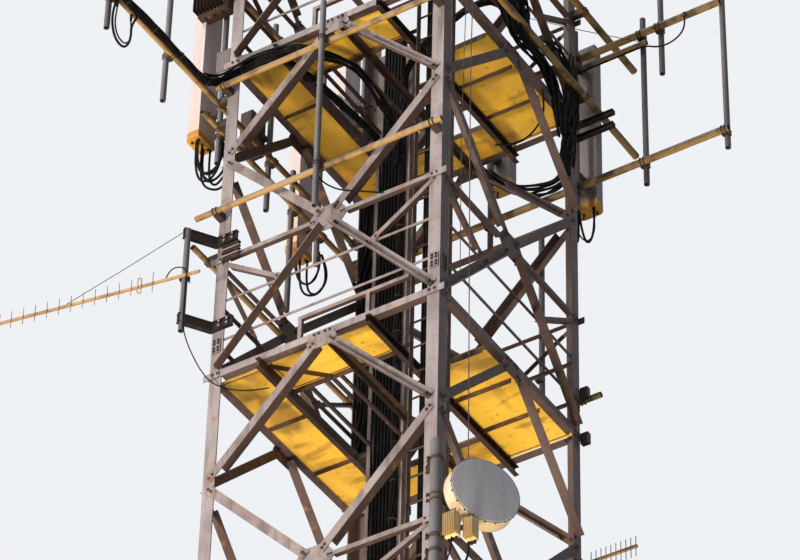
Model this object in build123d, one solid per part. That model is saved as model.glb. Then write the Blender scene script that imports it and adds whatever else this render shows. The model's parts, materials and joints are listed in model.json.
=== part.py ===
from build123d import *
import math
import os

# Self-supporting lattice cell tower, +Z up, millimetres.
# The origin is at the middle of the four feet, on the ground.
# The front face looks along -Y and the right face along +X.

# Tower body
FACE_WIDTH = 2500.0
HALF = FACE_WIDTH / 2
MODULE = 4000.0
HUB_RISE = 1420.0
NODE_RISE = 2720.0
FOOT_NODE = 320.0
TOP_OVER_NODE = 60.0
LEG_SIZE = 130.0
LEG_THICK = 12.0
LEG_ROOT_RADIUS = 12.0
SPLICE_RISE = 350.0
SPLICE_HALF = 85.0
SPLICE_EDGE = 15.0
SPLICE_WIDTH = 90.0
SPLICE_THICK = 10.0
DIAGONAL_SIZE = 90.0
DIAGONAL_THICK = 8.0
STRUT_SIZE = 80.0
STRUT_THICK = 8.0
LIGHT_SIZE = 50.0
LIGHT_THICK = 5.0
PLATE_THICK = 8.0
TAB_REACH = 60.0
TAB_INSIDE = 120.0
TAB_DROP = 45.0
TAB_RISE = 30.0
HUB_PLATE = (200.0, 38.0, 118.0, 150.0)
STRUT_PLATE = (110.0, 32.0, 165.0, 90.0, 115.0, 165.0)
SUB_PLATE = ((-40.0, -30.0), (30.0, -50.0), (120.0, 50.0), (80.0, 105.0), (10.0, 55.0))
FOOT_LAP = 80.0
NODE_LAP = 55.0
LIGHT_LAP = 50.0
LEG_COPE = 155.0
HUB_CUT = 110.0
HUB_COPE = 115.0
STRUT_CUT = 115.0
LIGHT_CUT = 140.0
LIGHT_COPE = 70.0
SUB_BRACE_SHARE = 0.60
SUB_BRACE_CUT = 60.0
SUB_BRACE_COPE = 75.0
SUB_BRACE_TOP_COPE = 130.0
BAR_TO_HEEL = 10.0

# Feet
FOOT_PLATE = 420.0
FOOT_THICK = 30.0
FOOT_CENTRE = HALF - 55.0
ANCHOR_SPACING = 300.0
ANCHOR_HOLE = 36.0
RIB_HEIGHT = 150.0
RIB_THICK = 12.0
RIB_REACH = 130.0
RIB_TOE = 25.0

# Working platforms
FLOOR_THICK = 5.0
FLOOR_JOINT = 3.0
LEFT_BEAM_X = -654.0
RIGHT_BEAM_X = 500.0
BEAM_DEPTH = 100.0
BEAM_FLANGE = 50.0
BEAM_THICK = 6.0
BEAM_END = HALF + 60.0
MIDDLE_BEAM_X = 30.0
MIDDLE_DEPTH = 80.0
MIDDLE_FLANGE = 60.0
FRONT_WELL_Y = -740.0
BACK_WELL_Y = 740.0
HATCH_Y = -370.0
KNEE_START = (-646.0, 85.0 - HALF)
KNEE_END = (-225.0, -744.0)
KNEE_SIZE = 50.0
KNEE_THICK = 8.0
WELL_BAR = 30.0
BEARER_DEPTH = 60.0
BEARER_THICK = 6.0
LEFT_JOINTS = (-388.0, 388.0)
RIGHT_JOINTS = (142.0, 654.0)
RAIL_SIZE = 30.0
RAIL_THICK = 4.0
RAIL_LOW = 430.0
RAIL_HIGH = 910.0
KICK_LEFT = -300.0
KICK_RIGHT = 900.0
KICK_POSTS = (-300.0, 440.0)
KICK_INSET = 25.0
KICK_SIZE = 40.0
KICK_RISE = 300.0

# Climbing ladder
LADDER_LEFT_X = 640.0
LADDER_WIDTH = 400.0
LADDER_Y = -750.0
STILE_DEPTH = 60.0
STILE_THICK = 10.0
RUNG_PITCH = 300.0
RUNG_SIZE = 22.0
LADDER_TOP = 10620.0
GUIDE_WIDTH = 70.0
GUIDE_DEPTH = 35.0
GUIDE_THICK = 4.0
LADDER_BRACKET = 50.0

# Cable ladder and feeder cables
TRAY_X = -500.0
TRAY_WIDTH = 330.0
TRAY_Y = 280.0
TRAY_STILE = 70.0
TRAY_THICK = 7.0
TRAY_TOP = 8990.0
TRAY_RUNG_PITCH = 800.0
TRAY_FIRST_RUNG = 300.0
TRAY_RUNG = 40.0
TRAY_RUNG_THICK = 6.0
TRAY_RUNG_INSET = 20.0
TRAY_SUPPORT = 60.0
TRAY_SUPPORT_THICK = 8.0
FEEDER_INSET = 30.0
FEEDER_DIAMETER = 28.0
FEEDER_PITCH = 38.0
FEEDER_COUNT = 6
FEEDER_TOP = 9300.0

# Mounting pipes, all one diameter
PIPE_DIAMETER = 60.0
PIPE_STANDOFF = 125.0
CLAMP_LINE = HALF - 35.0
CROSSING = 70.0
CLAMP_HALF = 42.0
CLAMP_WIDTH = 66.0
SEAT_MOUTH = 16.0
SEAT_ANGLE = 130.0
CLAMP_GAP = 0.3
FRONT_PIPES = ((5950.0, -HALF - 190.0, HALF + 70.0), (7600.0, -HALF - 50.0, HALF + 50.0))
RIGHT_PIPES = ((8290.0, -HALF - 50.0, HALF + 1000.0), (9490.0, -HALF - 50.0, HALF + 1000.0))
BACK_PIPES = (
    (7270.0, -HALF - 50.0, HALF + 1640.0),
    (9017.0, -HALF - 50.0, HALF + 1600.0),
    (8870.0, HALF - 190.0, HALF + 760.0),
    (4526.0, HALF - 190.0, HALF + 167.0),
)
LEFT_PIPES = (
    (5490.0, -HALF - 230.0, HALF + 100.0),
    (7250.0, -HALF - 230.0, HALF + 150.0),
    (7560.0, -HALF - 1850.0, HALF + 50.0),
    (9245.0, -HALF - 50.0, HALF + 500.0),
)

# Upright pipes as (place along the face, bottom, top, numbers of the face pipes that hold it)
FRONT_UPRIGHTS = ((-20.0, 5420.0, 8090.0, (0, 1)),)
LEFT_UPRIGHTS = (
    (-HALF - 1735.0, 7160.0, 9250.0, (2,)),
    (-HALF - 780.0, 6980.0, 9250.0, (2,)),
    (160.0 - HALF, 6900.0, 9700.0, (1, 3)),
    (-235.0, 6940.0, 9500.0, (2, 3)),
    (200.0, 5950.0, 7800.0, (1,)),
    (670.0, 6900.0, 9700.0, (1, 3)),
    (HALF + 180.0, 8900.0, 10900.0, (3,)),
)
BACK_UPRIGHTS = (
    (130.0, 6940.0, 9700.0, (0, 1)),
    (HALF - 112.0, 7000.0, 9500.0, (0, 1)),
    (HALF + 680.0, 7020.0, 9290.0, (0, 1)),
    (HALF + 890.0, 8420.0, 10000.0, (1,)),
    (HALF + 1590.0, 7080.0, 9700.0, (0,)),
)
BACK_BAR_Z = 6740.0
BACK_BAR = 90.0
BACK_SHELF = 70.0
HANG_X = 800.0
HANG_Y = HALF + 70.0
HANG_Z = (4690.0, 6800.0)

# Panel antennas
PANEL_WIDTH = 280.0
PANEL_DEPTH = 165.0
PANEL_ROUND = 60.0
PANEL_GAP = 120.0
PANEL_BRACKET = 330.0

# Long directional antenna
YAGI_X = -HALF - 164.0
YAGI_Y = -HALF - 270.0
YAGI_RISE = 1080.0
YAGI_TURN = 9.55
YAGI_PIPE_RISE = (440.0, 1700.0)
YAGI_BOOM = 25.0
YAGI_REACH = 1950.0
YAGI_TAIL = 180.0
YAGI_ELEMENT = 8.0
YAGI_PITCH = 126.5
YAGI_DIRECTORS = 12
YAGI_FIRST = 525.0
YAGI_DIPOLE = 440.0
YAGI_REFLECTOR = 300.0
DIRECTOR_LENGTH = 200.0
REFLECTOR_LENGTH = 250.0
DIPOLE_WIDTH = 46.0
DIPOLE_ROD = 9.0
YAGI_SIDE = 38.0
YAGI_STAY = 5.0
YAGI_STAY_REACH = 1230.0
SMALL_YAGI_Y = HALF - 60.0
SMALL_YAGI_Z = 2440.0
SMALL_YAGI_REACH = 620.0
SMALL_YAGI_PITCH = 52.0
SMALL_YAGI_COUNT = 10
SMALL_YAGI_ELEMENT = 230.0
ARM_START = 240.0 - HALF
ARM_THICK = 44.0
ARM_BEND = 20.0
ARM_PAST = 45.0
ARM_HALF = 26.0
ARM_HEIGHT = 60.0
ARM_RISES = (555.0, 1610.0)

# Drum dish
DISH_PIPE_X = HALF + 67.0
DISH_PIPE_Y = -HALF - 100.0
DISH_PIPE = 114.0
DISH_PIPE_Z = (480.0, 2140.0)
DISH_X = DISH_PIPE_X + 294.0
DISH_Y = DISH_PIPE_Y + 205.0
DISH_Z = 1508.0
DISH_TURN = -32.34
DISH_RADIUS = 330.0
DISH_DEPTH = 150.0
DISH_BOWL = 70.0
DISH_HUB = 95.0
DISH_HUB_LENGTH = 100.0
DISH_ARM = 70.0
DISH_COLLAR = 13.0
DISH_BRACKETS = (905.0, 1900.0)
DISH_BRACKET = 60.0
UNIT_Z = 1090.0
UNIT_BAR = 40.0
UNIT_REACH = 293.0
UNIT_CORNER = 14.0
NEAR_UNIT = (130.0, 110.0, 260.0)
FAR_UNIT = (110.0, 110.0, 240.0)
RAIL_UNIT = (190.0, 300.0, 510.0)
NEAR_UNIT_LOW = -125.0
FAR_UNIT_LOW = -165.0
UNIT_LAP = 20.0
FAR_UNIT_FRONT = -50.0
RAIL_UNIT_Y = 350.0
RAIL_UNIT_LOW = 320.0
RADOME_EDGE = 8.0
RADOME_BULGE = 12.0
RADOME_INSET = 6.0

# Cables: diameters, and routes as points
RUN_CABLE = 40.0
DROP_CABLE = 28.0
LIMB_CABLE = 18.0
JUMPER_CABLE = 16.0
YAGI_CABLE = 12.0
UNIT_CABLE = 14.0
PLUG_WIDTH = 28.0
PLUG_LENGTH = 60.0
SOCKET_WIDTH = 26.0
SOCKET_LENGTH = 30.0
BOOM_PLUG = 79.7
JUMPER_PLUG = (-38.0, 22.0, -150.0)
SHORT_JUMPER = (
    (220, 50, -30),
    (222, 52, -120),
    (215, 50, -230),
    (170, 40, -400),
    (70, 20, -470),
    (-30, 22, -430),
    (-50, 24, -290),
    JUMPER_PLUG,
)
LONG_JUMPER = (
    (235, -50, -30),
    (248, -56, -130),
    (240, -58, -250),
    (190, -50, -400),
    (90, -38, -510),
    (-30, -26, -500),
    (-75, -22, -390),
    (-60, -22, -268),
    (-38, -22, -150),
)
BOOM_RUN_PLACE = (-1324.7, 7560.0)
TRAY_DROP = (-429.5, 253.7, 7665.0)
LEFT_RUN = (
    (BOOM_RUN_PLACE[0], -3060, BOOM_RUN_PLACE[1]),
    (BOOM_RUN_PLACE[0], -1580, BOOM_RUN_PLACE[1] + 2),
    (-1322, -1480, 7610),
    (-1310, -1385, 7685),
    (-1255, -1315, 7745),
    (-1130, -1287, 7775),
    (-930, -1283, 7835),
    (-740, -1255, 7828),
    (-610, -1130, 7812),
    (-530, -700, 7806),
    (-455, 60, 7800),
    (-442, 200, 7760),
    (-440, 238, 7640),
)
RIGHT_RUN = (
    (-174, 253.7, 0),
    (-174, 253.7, 8420),
    (-140, 225, 8560),
    (20, 140, 8650),
    (420, -20, 8680),
    (830, -160, 8650),
    (1080, -215, 8590),
    (1215, -170, 8520),
    (1277, -20, 8450),
    (1282, 250, 8345),
    (1282, 500, 8215),
    (1280, 720, 8085),
    (1279, 900, 7890),
    (1279, 985, 7660),
    (1280, 1015, 7380),
    (1281, 1010, 7100),
)
LIMB_RUN = ((1890, 1375, 8830.6), (1080, 1375, 8830.6))
BOOM_LOOP = (
    (-1375, -2940, 7450),
    (-1373, -2944, 7370),
    (-1376, -2952, 7285),
    (-1380, -2938, 7185),
    (-1381, -2882, 7095),
    (-1378, -2777, 7085),
    (-1374, -2714, 7170),
    (-1372, -2694, 7275),
    (-1374, -2704, 7365),
    (-1375, -2714, 7450),
)
PIPE_LOOP = (
    (2470, 1331, 8960),
    (2476, 1329, 8860),
    (2442, 1328, 8755),
    (2352, 1330, 8690),
    (2235, 1336, 8680),
    (2120, 1350, 8725),
    (2005, 1371, 8820),
    LIMB_RUN[0],
)
YAGI_FEEDER = (
    (-1577.0, -1599.0, 5094.0),
    (-1545.0, -1607.0, 5155.0),
    (-1468.0, -1605.0, 5190.0),
    (-1385.0, -1590.0, 5160.0),
    (-1345.0, -1592.0, 5085.0),
    (-1352.0, -1578.0, 4995.0),
    (-1376.0, -1552.0, 4890.0),
    (-1382.5, -1541.0, 4780.0),
    (-1382.0, -1540.7, 4600.0),
    (-1378.0, -1538.0, 4440.0),
    (-1352.0, -1500.0, 4290.0),
    (-1312.0, -1425.0, 4130.0),
    (-1262.0, -1350.0, 3990.0),
    (-1180.0, -1300.0, 3870.0),
    (-1070.0, -1240.0, 3800.0),
    (-950.0, -1150.0, 3790.0),
    (-840.0, -1060.0, 3815.0),
    (-754.0, -990.0, 3855.0),
)
UNIT_DROP = (
    (1525, -1425, 965),
    (1526, -1428, 890),
    (1512, -1432, 800),
    (1472, -1420, 715),
    (1424, -1385, 660),
    (1394, -1356, 590),
    (1388.4, -1350, 520),
)

PLATFORM_LEVELS = [MODULE, 2 * MODULE]
SPLICE_HEIGHT = MODULE + SPLICE_RISE
YAGI_Z = MODULE + YAGI_RISE
YAGI_PIPE = tuple(MODULE + rise for rise in YAGI_PIPE_RISE)
ARM_LEVELS = tuple(MODULE + rise for rise in ARM_RISES)
TOWER_TOP = 2 * MODULE + NODE_RISE + TOP_OVER_NODE
LEG_MIDDLE = HALF - LEG_SIZE / 2
BAR_END = HALF - BAR_TO_HEEL
TOE_GAP = 5.0
LEG_TOE = HALF - LEG_SIZE - TOE_GAP
PLATFORM_EDGE = HALF - STRUT_SIZE - TOE_GAP
RAIL_REACH = HALF - LEG_THICK - LEG_ROOT_RADIUS - TOE_GAP
PIPE_LINE = HALF + PIPE_STANDOFF
UPRIGHT_LINE = PIPE_LINE + CROSSING
EIGHT_FLAT = math.cos(math.pi / 8)
LADDER_RIGHT_X = LADDER_LEFT_X + LADDER_WIDTH
FACE_NAMES = ["front", "right", "back", "left"]


def save(name, solids):
    """Write one named piece made of one or more solids."""
    solids = [piece for item in solids for piece in item.solids()]
    shape = solids[0] if len(solids) == 1 else Compound(children=solids)
    export_step(shape, os.path.join("parts", name + ".step"))


def box(x0, x1, y0, y1, z0, z1):
    """Rectangular block between two corners."""
    return Pos((x0 + x1) / 2, (y0 + y1) / 2, (z0 + z1) / 2) * Box(x1 - x0, y1 - y0, z1 - z0)


def prism(points, plane, length):
    """Outline drawn on a plane and drawn out to a length."""
    return extrude(plane * Polygon(*points, align=None), amount=length, dir=plane.z_dir)


def rod(start, end, diameter, sides=16):
    """Pipe between two points, with enough sides to pass for round."""
    a = Vector(*start)
    b = Vector(*end)
    section = RegularPolygon(diameter / 2, sides)
    return extrude(Plane(origin=a, z_dir=b - a) * section, amount=(b - a).length)


def slim_bar(start, end, size, sides=8):
    """Slim bar with flats, used where a thin round bar or cable stands."""
    a = Vector(*start)
    b = Vector(*end)
    plane = Plane(origin=a, z_dir=b - a)
    section = RegularPolygon(size / 2, sides, rotation=180 / sides)
    return extrude(plane * section, amount=(b - a).length)


def angle_outline(size, thick, outward, upper):
    """L outline as (down, out) points; its standing leg is on the lower or the upper edge."""
    half = size / 2
    if outward:
        points = [(-half, 0), (half, 0), (half, size), (half - thick, size), (half - thick, thick)]
    else:
        tip = thick - size
        points = [(-half, 0), (half - thick, 0), (half - thick, tip), (half, tip), (half, thick)]
    points.append((-half, thick))
    if upper:
        points = [(-down, out) for down, out in points]
    return points


def bar_plane(start, end, cut):
    """Plane across a bar of the front face, with its first axis pointing down."""
    run = math.hypot(end[0] - start[0], end[1] - start[1])
    along = ((end[0] - start[0]) / run, (end[1] - start[1]) / run)
    side = 1 if along[0] > 0 else -1
    origin = (start[0] + along[0] * cut, -HALF, start[1] + along[1] * cut)
    down = (side * along[1], 0, -side * along[0])
    return Plane(origin=origin, x_dir=down, z_dir=(along[0], 0, along[1])), side, run


def face_bar(start, end, size, thick, cuts=(0, 0), outward=False, upper=False, copes=(0, 0)):
    """Angle bar on the front face between two points given as (x, z).

    The flat leg laps over the tower leg from outside. The standing leg is cut back at each
    end by its cope, to clear the leg and the plates.
    """
    outline = angle_outline(size, thick, outward, upper)
    plane, side, run = bar_plane(start, end, cuts[0])
    length = run - cuts[0] - cuts[1]
    if copes == (0, 0):
        return prism([(down, -side * out) for down, out in outline], plane, length)
    flat = [(-size / 2, 0), (size / 2, 0), (size / 2, -side * thick), (-size / 2, -side * thick)]
    bar = prism(flat, plane, length)
    inner, side, run = bar_plane(start, end, cuts[0] + copes[0])
    angle = prism([(down, -side * out) for down, out in outline], inner, length - copes[0] - copes[1])
    return bar + angle


def face_plate(points, low=0.0, thick=PLATE_THICK):
    """Flat plate on the front face, outline in (x, z), its inner side at a stand-off."""
    plane = Plane(origin=(0, -HALF - low, 0), x_dir=(1, 0, 0), z_dir=(0, -1, 0))
    return prism(points, plane, thick)


def to_face(index, solids):
    """Turn front-face pieces to one of the four faces."""
    return [Rot(0, 0, 90 * index) * piece for piece in solids]


def face_sign(index):
    """Sign that brings a place along a face into the frame of the front face."""
    return 1 if index < 2 else -1


def leg(corner_x, corner_y):
    """Corner leg in two lengths, an equal angle with its heel outwards."""
    outline = Polygon(
        (0, 0),
        (LEG_SIZE, 0),
        (LEG_SIZE, LEG_THICK),
        (LEG_THICK, LEG_THICK),
        (LEG_THICK, LEG_SIZE),
        (0, LEG_SIZE),
        align=None,
    )
    root = outline.vertices().sort_by_distance((LEG_THICK, LEG_THICK, 0))[0]
    outline = fillet(root, LEG_ROOT_RADIUS)
    turn = {(-1, -1): 0, (1, -1): 90, (1, 1): 180, (-1, 1): 270}[(corner_x, corner_y)]
    lengths = []
    for low, high in [(FOOT_THICK, SPLICE_HEIGHT), (SPLICE_HEIGHT, TOWER_TOP)]:
        bar = extrude(outline, amount=high - low)
        place = Pos(corner_x * HALF, corner_y * HALF, low) * Rot(0, 0, turn)
        lengths.append(place * bar)
    return lengths


def foot_plate(corner_x, corner_y):
    """Base plate with four anchor holes, for one leg."""
    plate = Box(FOOT_PLATE, FOOT_PLATE, FOOT_THICK)
    for hole_x in (-ANCHOR_SPACING / 2, ANCHOR_SPACING / 2):
        for hole_y in (-ANCHOR_SPACING / 2, ANCHOR_SPACING / 2):
            plate -= Pos(hole_x, hole_y, 0) * Cylinder(ANCHOR_HOLE / 2, FOOT_THICK)
    return Pos(corner_x * FOOT_CENTRE, corner_y * FOOT_CENTRE, FOOT_THICK / 2) * plate


def foot_rib(side):
    """Stiffening rib between a base plate and the outer face of a leg."""
    plane = Plane(
        origin=(side * LEG_MIDDLE + RIB_THICK / 2, -HALF, FOOT_THICK),
        x_dir=(0, -1, 0),
        z_dir=(-1, 0, 0),
    )
    outline = [(0, 0), (RIB_REACH, 0), (RIB_REACH, RIB_TOE), (RIB_TOE, RIB_HEIGHT), (0, RIB_HEIGHT)]
    return prism(outline, plane, RIB_THICK)


def panel_bases():
    """Heights at which the crossed panels start and their hubs and upper nodes lie."""
    panels = []
    for step in range(3):
        base = step * MODULE
        low = FOOT_NODE if step == 0 else base
        panels.append((low, base + HUB_RISE, base + NODE_RISE))
    return panels


def diagonal(start, end, cut, outward=False, upper=False, copes=(0, 0)):
    """One diagonal bar of the front face, cut short of its inner end."""
    return face_bar(start, end, DIAGONAL_SIZE, DIAGONAL_THICK, (0, cut), outward, upper, copes)


def diagonals():
    """All diagonal bars of the front face."""
    bars = []
    for low, hub, node in panel_bases():
        for side in (-1, 1):
            foot = (side * LEG_MIDDLE, low + FOOT_LAP)
            head = (side * LEG_MIDDLE, node - NODE_LAP)
            bars.append(diagonal(foot, (0, hub), HUB_CUT, outward=True))
            bars.append(diagonal(head, (0, hub), HUB_CUT, upper=side < 0, copes=(LEG_COPE, HUB_COPE)))
    for level in PLATFORM_LEVELS:
        node = level - MODULE + NODE_RISE + NODE_LAP
        middle = (0, level)
        bars.append(diagonal((-LEG_MIDDLE, node), middle, STRUT_CUT, copes=(LEG_COPE, 0)))
        bars.append(diagonal((LEG_MIDDLE, node), middle, STRUT_CUT, outward=True, copes=(0, HUB_COPE)))
    return bars


def platform_struts():
    """Horizontal bars of the front face at the platforms and at the top."""
    copes = (BAR_END - LEG_TOE, BAR_END - LEG_TOE)
    bars = []
    for height in PLATFORM_LEVELS + [TOWER_TOP - STRUT_SIZE / 2]:
        ends = ((-BAR_END, height), (BAR_END, height))
        bars.append(face_bar(*ends, STRUT_SIZE, STRUT_THICK, copes=copes))
    return bars


def middle_horizontals():
    """Thin horizontal bars from each leg to the hub of the crossed panels."""
    copes = (BAR_END - LEG_TOE, LIGHT_COPE)
    bars = []
    for low, hub, node in panel_bases():
        for side in (-1, 1):
            ends = ((side * BAR_END, hub), (0, hub))
            bars.append(face_bar(*ends, LIGHT_SIZE, LIGHT_THICK, (0, LIGHT_CUT), copes=copes))
    return bars


def sub_brace_foot(low, hub):
    """Point on the right-hand lower diagonal where a short bar meets it."""
    start = low + FOOT_LAP
    return LEG_MIDDLE * (1 - SUB_BRACE_SHARE), start + (hub - start) * SUB_BRACE_SHARE


def sub_braces():
    """Short bars from the legs at hub height down to the lower diagonals."""
    cuts = (0, SUB_BRACE_CUT)
    copes = (SUB_BRACE_TOP_COPE, SUB_BRACE_COPE)
    bars = []
    for low, hub, node in panel_bases():
        foot_x, foot_z = sub_brace_foot(low, hub)
        for side in (-1, 1):
            ends = ((side * LEG_MIDDLE, hub - LIGHT_LAP), (side * foot_x, foot_z))
            bars.append(face_bar(*ends, LIGHT_SIZE, LIGHT_THICK, cuts, copes=copes))
    return bars


def leg_tabs():
    """Plates over the bar ends on the legs that stick out past the heel."""
    plates = []
    inner = HALF - TAB_INSIDE
    outer = HALF + TAB_REACH
    places = [(level, STRUT_THICK) for level in PLATFORM_LEVELS]
    places += [(hub, LIGHT_THICK) for low, hub, node in panel_bases()]
    for height, stand in places:
        low = height - TAB_DROP
        high = height + TAB_RISE
        shape = [(inner, high), (inner, low + 15), (inner + 20, low), (outer, low), (outer, high)]
        plates.append(face_plate(shape, stand))
        plates.append(face_plate([(-x, z) for x, z in shape], stand))
    return plates


def hub_gussets():
    """Plates behind the crossing points and over the middle of the platform struts."""
    plates = []
    wide, short, narrow, tall = HUB_PLATE
    for low, hub, node in panel_bases():
        right = [(narrow, -tall), (wide, -short), (wide, short), (narrow, tall)]
        left = [(-x, -z) for x, z in right]
        plates.append(face_plate([(x, hub + z) for x, z in right + left], -PLATE_THICK))
    top_x, top_z, wide, short, narrow, tall = STRUT_PLATE
    for level in PLATFORM_LEVELS:
        right = [(narrow, -tall), (wide, -short), (top_x, top_z)]
        left = [(-x, z) for x, z in reversed(right)]
        plates.append(face_plate([(x, level + z) for x, z in right + left], STRUT_THICK))
    return plates


def sub_gussets():
    """Small plates behind the ends of the short bars on the lower diagonals."""
    plates = []
    for low, hub, node in panel_bases():
        foot_x, foot_z = sub_brace_foot(low, hub)
        outline = [(foot_x + x, foot_z + z) for x, z in SUB_PLATE]
        plates.append(face_plate(outline, -PLATE_THICK))
        plates.append(face_plate([(-x, z) for x, z in outline], -PLATE_THICK))
    return plates


def beam(x, opening):
    """Floor beam, a channel along Y under the platform struts."""
    depth = BEAM_DEPTH
    reach = opening * BEAM_FLANGE
    web = opening * BEAM_THICK
    outline = [
        (0, 0),
        (reach, 0),
        (reach, -BEAM_THICK),
        (web, -BEAM_THICK),
        (web, -depth + BEAM_THICK),
        (reach, -depth + BEAM_THICK),
        (reach, -depth),
        (0, -depth),
    ]
    plane = Plane(origin=(x, BEAM_END, 0), x_dir=(1, 0, 0), z_dir=(0, -1, 0))
    return prism(outline, plane, 2 * BEAM_END)


def middle_beam():
    """Lighter floor beam along Y through the middle of the platform."""
    outline = [
        (0, 0),
        (MIDDLE_FLANGE, 0),
        (MIDDLE_FLANGE, -BEAM_THICK),
        (BEAM_THICK, -BEAM_THICK),
        (BEAM_THICK, -MIDDLE_DEPTH),
        (0, -MIDDLE_DEPTH),
    ]
    plane = Plane(origin=(MIDDLE_BEAM_X, BAR_END, 0), x_dir=(1, 0, 0), z_dir=(0, -1, 0))
    return prism(outline, plane, 2 * BAR_END)


def floor_beams(level):
    """The long beams of a platform."""
    under = level - STRUT_SIZE / 2
    return [
        Pos(0, 0, under) * beam(LEFT_BEAM_X, -1),
        Pos(0, 0, under) * beam(RIGHT_BEAM_X, 1),
        Pos(0, 0, under) * middle_beam(),
    ]


def floor_bearers(level):
    """Cross bars under the floor plates and packing strips on the beams."""
    under = level - STRUT_SIZE / 2
    top = under + STRUT_THICK
    low = top - BEARER_DEPTH
    inner = PLATFORM_EDGE
    left_edge = LEFT_BEAM_X - BEAM_FLANGE
    right_edge = RIGHT_BEAM_X + BEAM_FLANGE
    middle_edge = MIDDLE_BEAM_X + MIDDLE_FLANGE
    half = BEARER_THICK / 2
    pieces = [
        box(left_edge, LEFT_BEAM_X, -inner, inner, under, top),
        box(RIGHT_BEAM_X, right_edge, -inner, inner, under, top),
        box(right_edge, inner, HATCH_Y, HATCH_Y + BEARER_THICK, low, top),
    ]
    for y in (FRONT_WELL_Y, BACK_WELL_Y - BEARER_THICK):
        pieces.append(box(LEFT_BEAM_X, MIDDLE_BEAM_X, y, y + BEARER_THICK, low, top))
        pieces.append(box(middle_edge, RIGHT_BEAM_X, y, y + BEARER_THICK, low, top))
    for y in LEFT_JOINTS:
        pieces.append(box(-inner, left_edge, y - half, y + half, low, under))
    for y in RIGHT_JOINTS:
        pieces.append(box(right_edge, inner, y - half, y + half, low, under))
    return pieces


def floor_plates(level):
    """Yellow floor plates round the open well, with a hatch at the front right corner."""
    low = level - STRUT_SIZE / 2 + STRUT_THICK
    high = low + FLOOR_THICK
    gap = FLOOR_JOINT / 2
    outer = HALF - LEG_THICK - TOE_GAP
    inner = PLATFORM_EDGE
    plates = []
    joints = (-inner,) + LEFT_JOINTS + (inner,)
    for y0, y1 in zip(joints, joints[1:]):
        plates.append(box(-outer, LEFT_BEAM_X - gap, y0 + gap, y1 - gap, low, high))
    joints = (HATCH_Y,) + RIGHT_JOINTS + (inner,)
    for y0, y1 in zip(joints, joints[1:]):
        plates.append(box(RIGHT_BEAM_X + gap, outer, y0 + gap, y1 - gap, low, high))
    middle = MIDDLE_BEAM_X + MIDDLE_FLANGE / 2
    for x0, x1 in ((LEFT_BEAM_X, middle), (middle, RIGHT_BEAM_X)):
        plates.append(box(x0 + gap, x1 - gap, -outer, FRONT_WELL_Y + BEARER_THICK, low, high))
        plates.append(box(x0 + gap, x1 - gap, BACK_WELL_Y - BEARER_THICK, outer, low, high))
    return plates


def slanting_bar(start, end, high, depth):
    """Flat bar on edge between two points in plan."""
    run = math.hypot(end[0] - start[0], end[1] - start[1])
    turn = math.degrees(math.atan2(end[1] - start[1], end[0] - start[0]))
    half = KNEE_THICK / 2
    return Pos(start[0], start[1], 0) * Rot(0, 0, turn) * box(0, run, -half, half, high - depth, high)


def plan_bracing():
    """Slanting and lengthways bars under each platform, in and beside the well."""
    bars = []
    first = TRAY_X + KNEE_SIZE / 2
    last = TRAY_X + TRAY_WIDTH + KNEE_SIZE / 2
    front = FRONT_WELL_Y + BEARER_THICK
    for level in PLATFORM_LEVELS:
        top = level - STRUT_SIZE / 2 + STRUT_THICK
        bars.append(slanting_bar(KNEE_START, KNEE_END, top, KNEE_SIZE))
        for x in (first, last):
            low = top - BEARER_DEPTH
            bars.append(box(x, x + WELL_BAR, front, TRAY_Y, low, low + WELL_BAR))
    return bars


def guard_rails(reach):
    """Rails inside the legs of the front face above each platform."""
    inner = HALF - LEG_THICK
    rails = []
    for level in PLATFORM_LEVELS:
        for rise in (RAIL_LOW, RAIL_HIGH):
            z = level + rise
            plane = Plane(origin=(-reach, -inner, z), x_dir=(0, 1, 0), z_dir=(1, 0, 0))
            outline = [
                (0, 0),
                (0, -RAIL_SIZE),
                (RAIL_THICK, -RAIL_SIZE),
                (RAIL_THICK, -RAIL_THICK),
                (RAIL_SIZE, -RAIL_THICK),
                (RAIL_SIZE, 0),
            ]
            rails.append(prism(outline, plane, 2 * reach))
    return rails


def kick_rails():
    """Low bar on two posts inside the front edge of each platform."""
    back = -HALF + KICK_INSET + KICK_SIZE
    front = -HALF + KICK_INSET
    pieces = []
    for level in PLATFORM_LEVELS:
        floor = level - STRUT_SIZE / 2 + STRUT_THICK + FLOOR_THICK
        under = level + KICK_RISE
        bar = box(KICK_LEFT, KICK_RIGHT, front, back, under, under + KICK_SIZE)
        for x in KICK_POSTS:
            bar += box(x, x + KICK_SIZE, front, back, floor, under)
        pieces.append(bar)
    return pieces


def leg_splices():
    """Cover plates over the joint of the two lengths of each leg, on its outer faces."""
    near = HALF - SPLICE_EDGE
    far = near - SPLICE_WIDTH
    low = SPLICE_HEIGHT - SPLICE_HALF
    high = SPLICE_HEIGHT + SPLICE_HALF
    plates = []
    for index in range(4):
        left = box(-near, -far, -HALF - SPLICE_THICK, -HALF, low, high)
        right = box(far, near, -HALF - SPLICE_THICK, -HALF, low, high)
        plates += to_face(index, [left, right])
    return plates


def ladder_stiles():
    """Two flat side bars of the ladder."""
    half = STILE_THICK / 2
    near = LADDER_Y - STILE_DEPTH / 2
    far = LADDER_Y + STILE_DEPTH / 2
    return [box(x - half, x + half, near, far, 0, LADDER_TOP) for x in (LADDER_LEFT_X, LADDER_RIGHT_X)]


def ladder_rungs():
    """Rungs between the stiles."""
    rungs = []
    x0 = LADDER_LEFT_X + STILE_THICK / 2
    x1 = LADDER_RIGHT_X - STILE_THICK / 2
    count = int((LADDER_TOP - RUNG_SIZE) // RUNG_PITCH)
    for step in range(1, count + 1):
        z = step * RUNG_PITCH
        rungs.append(slim_bar((x0, LADDER_Y, z), (x1, LADDER_Y, z), RUNG_SIZE, 6))
    return rungs


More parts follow.
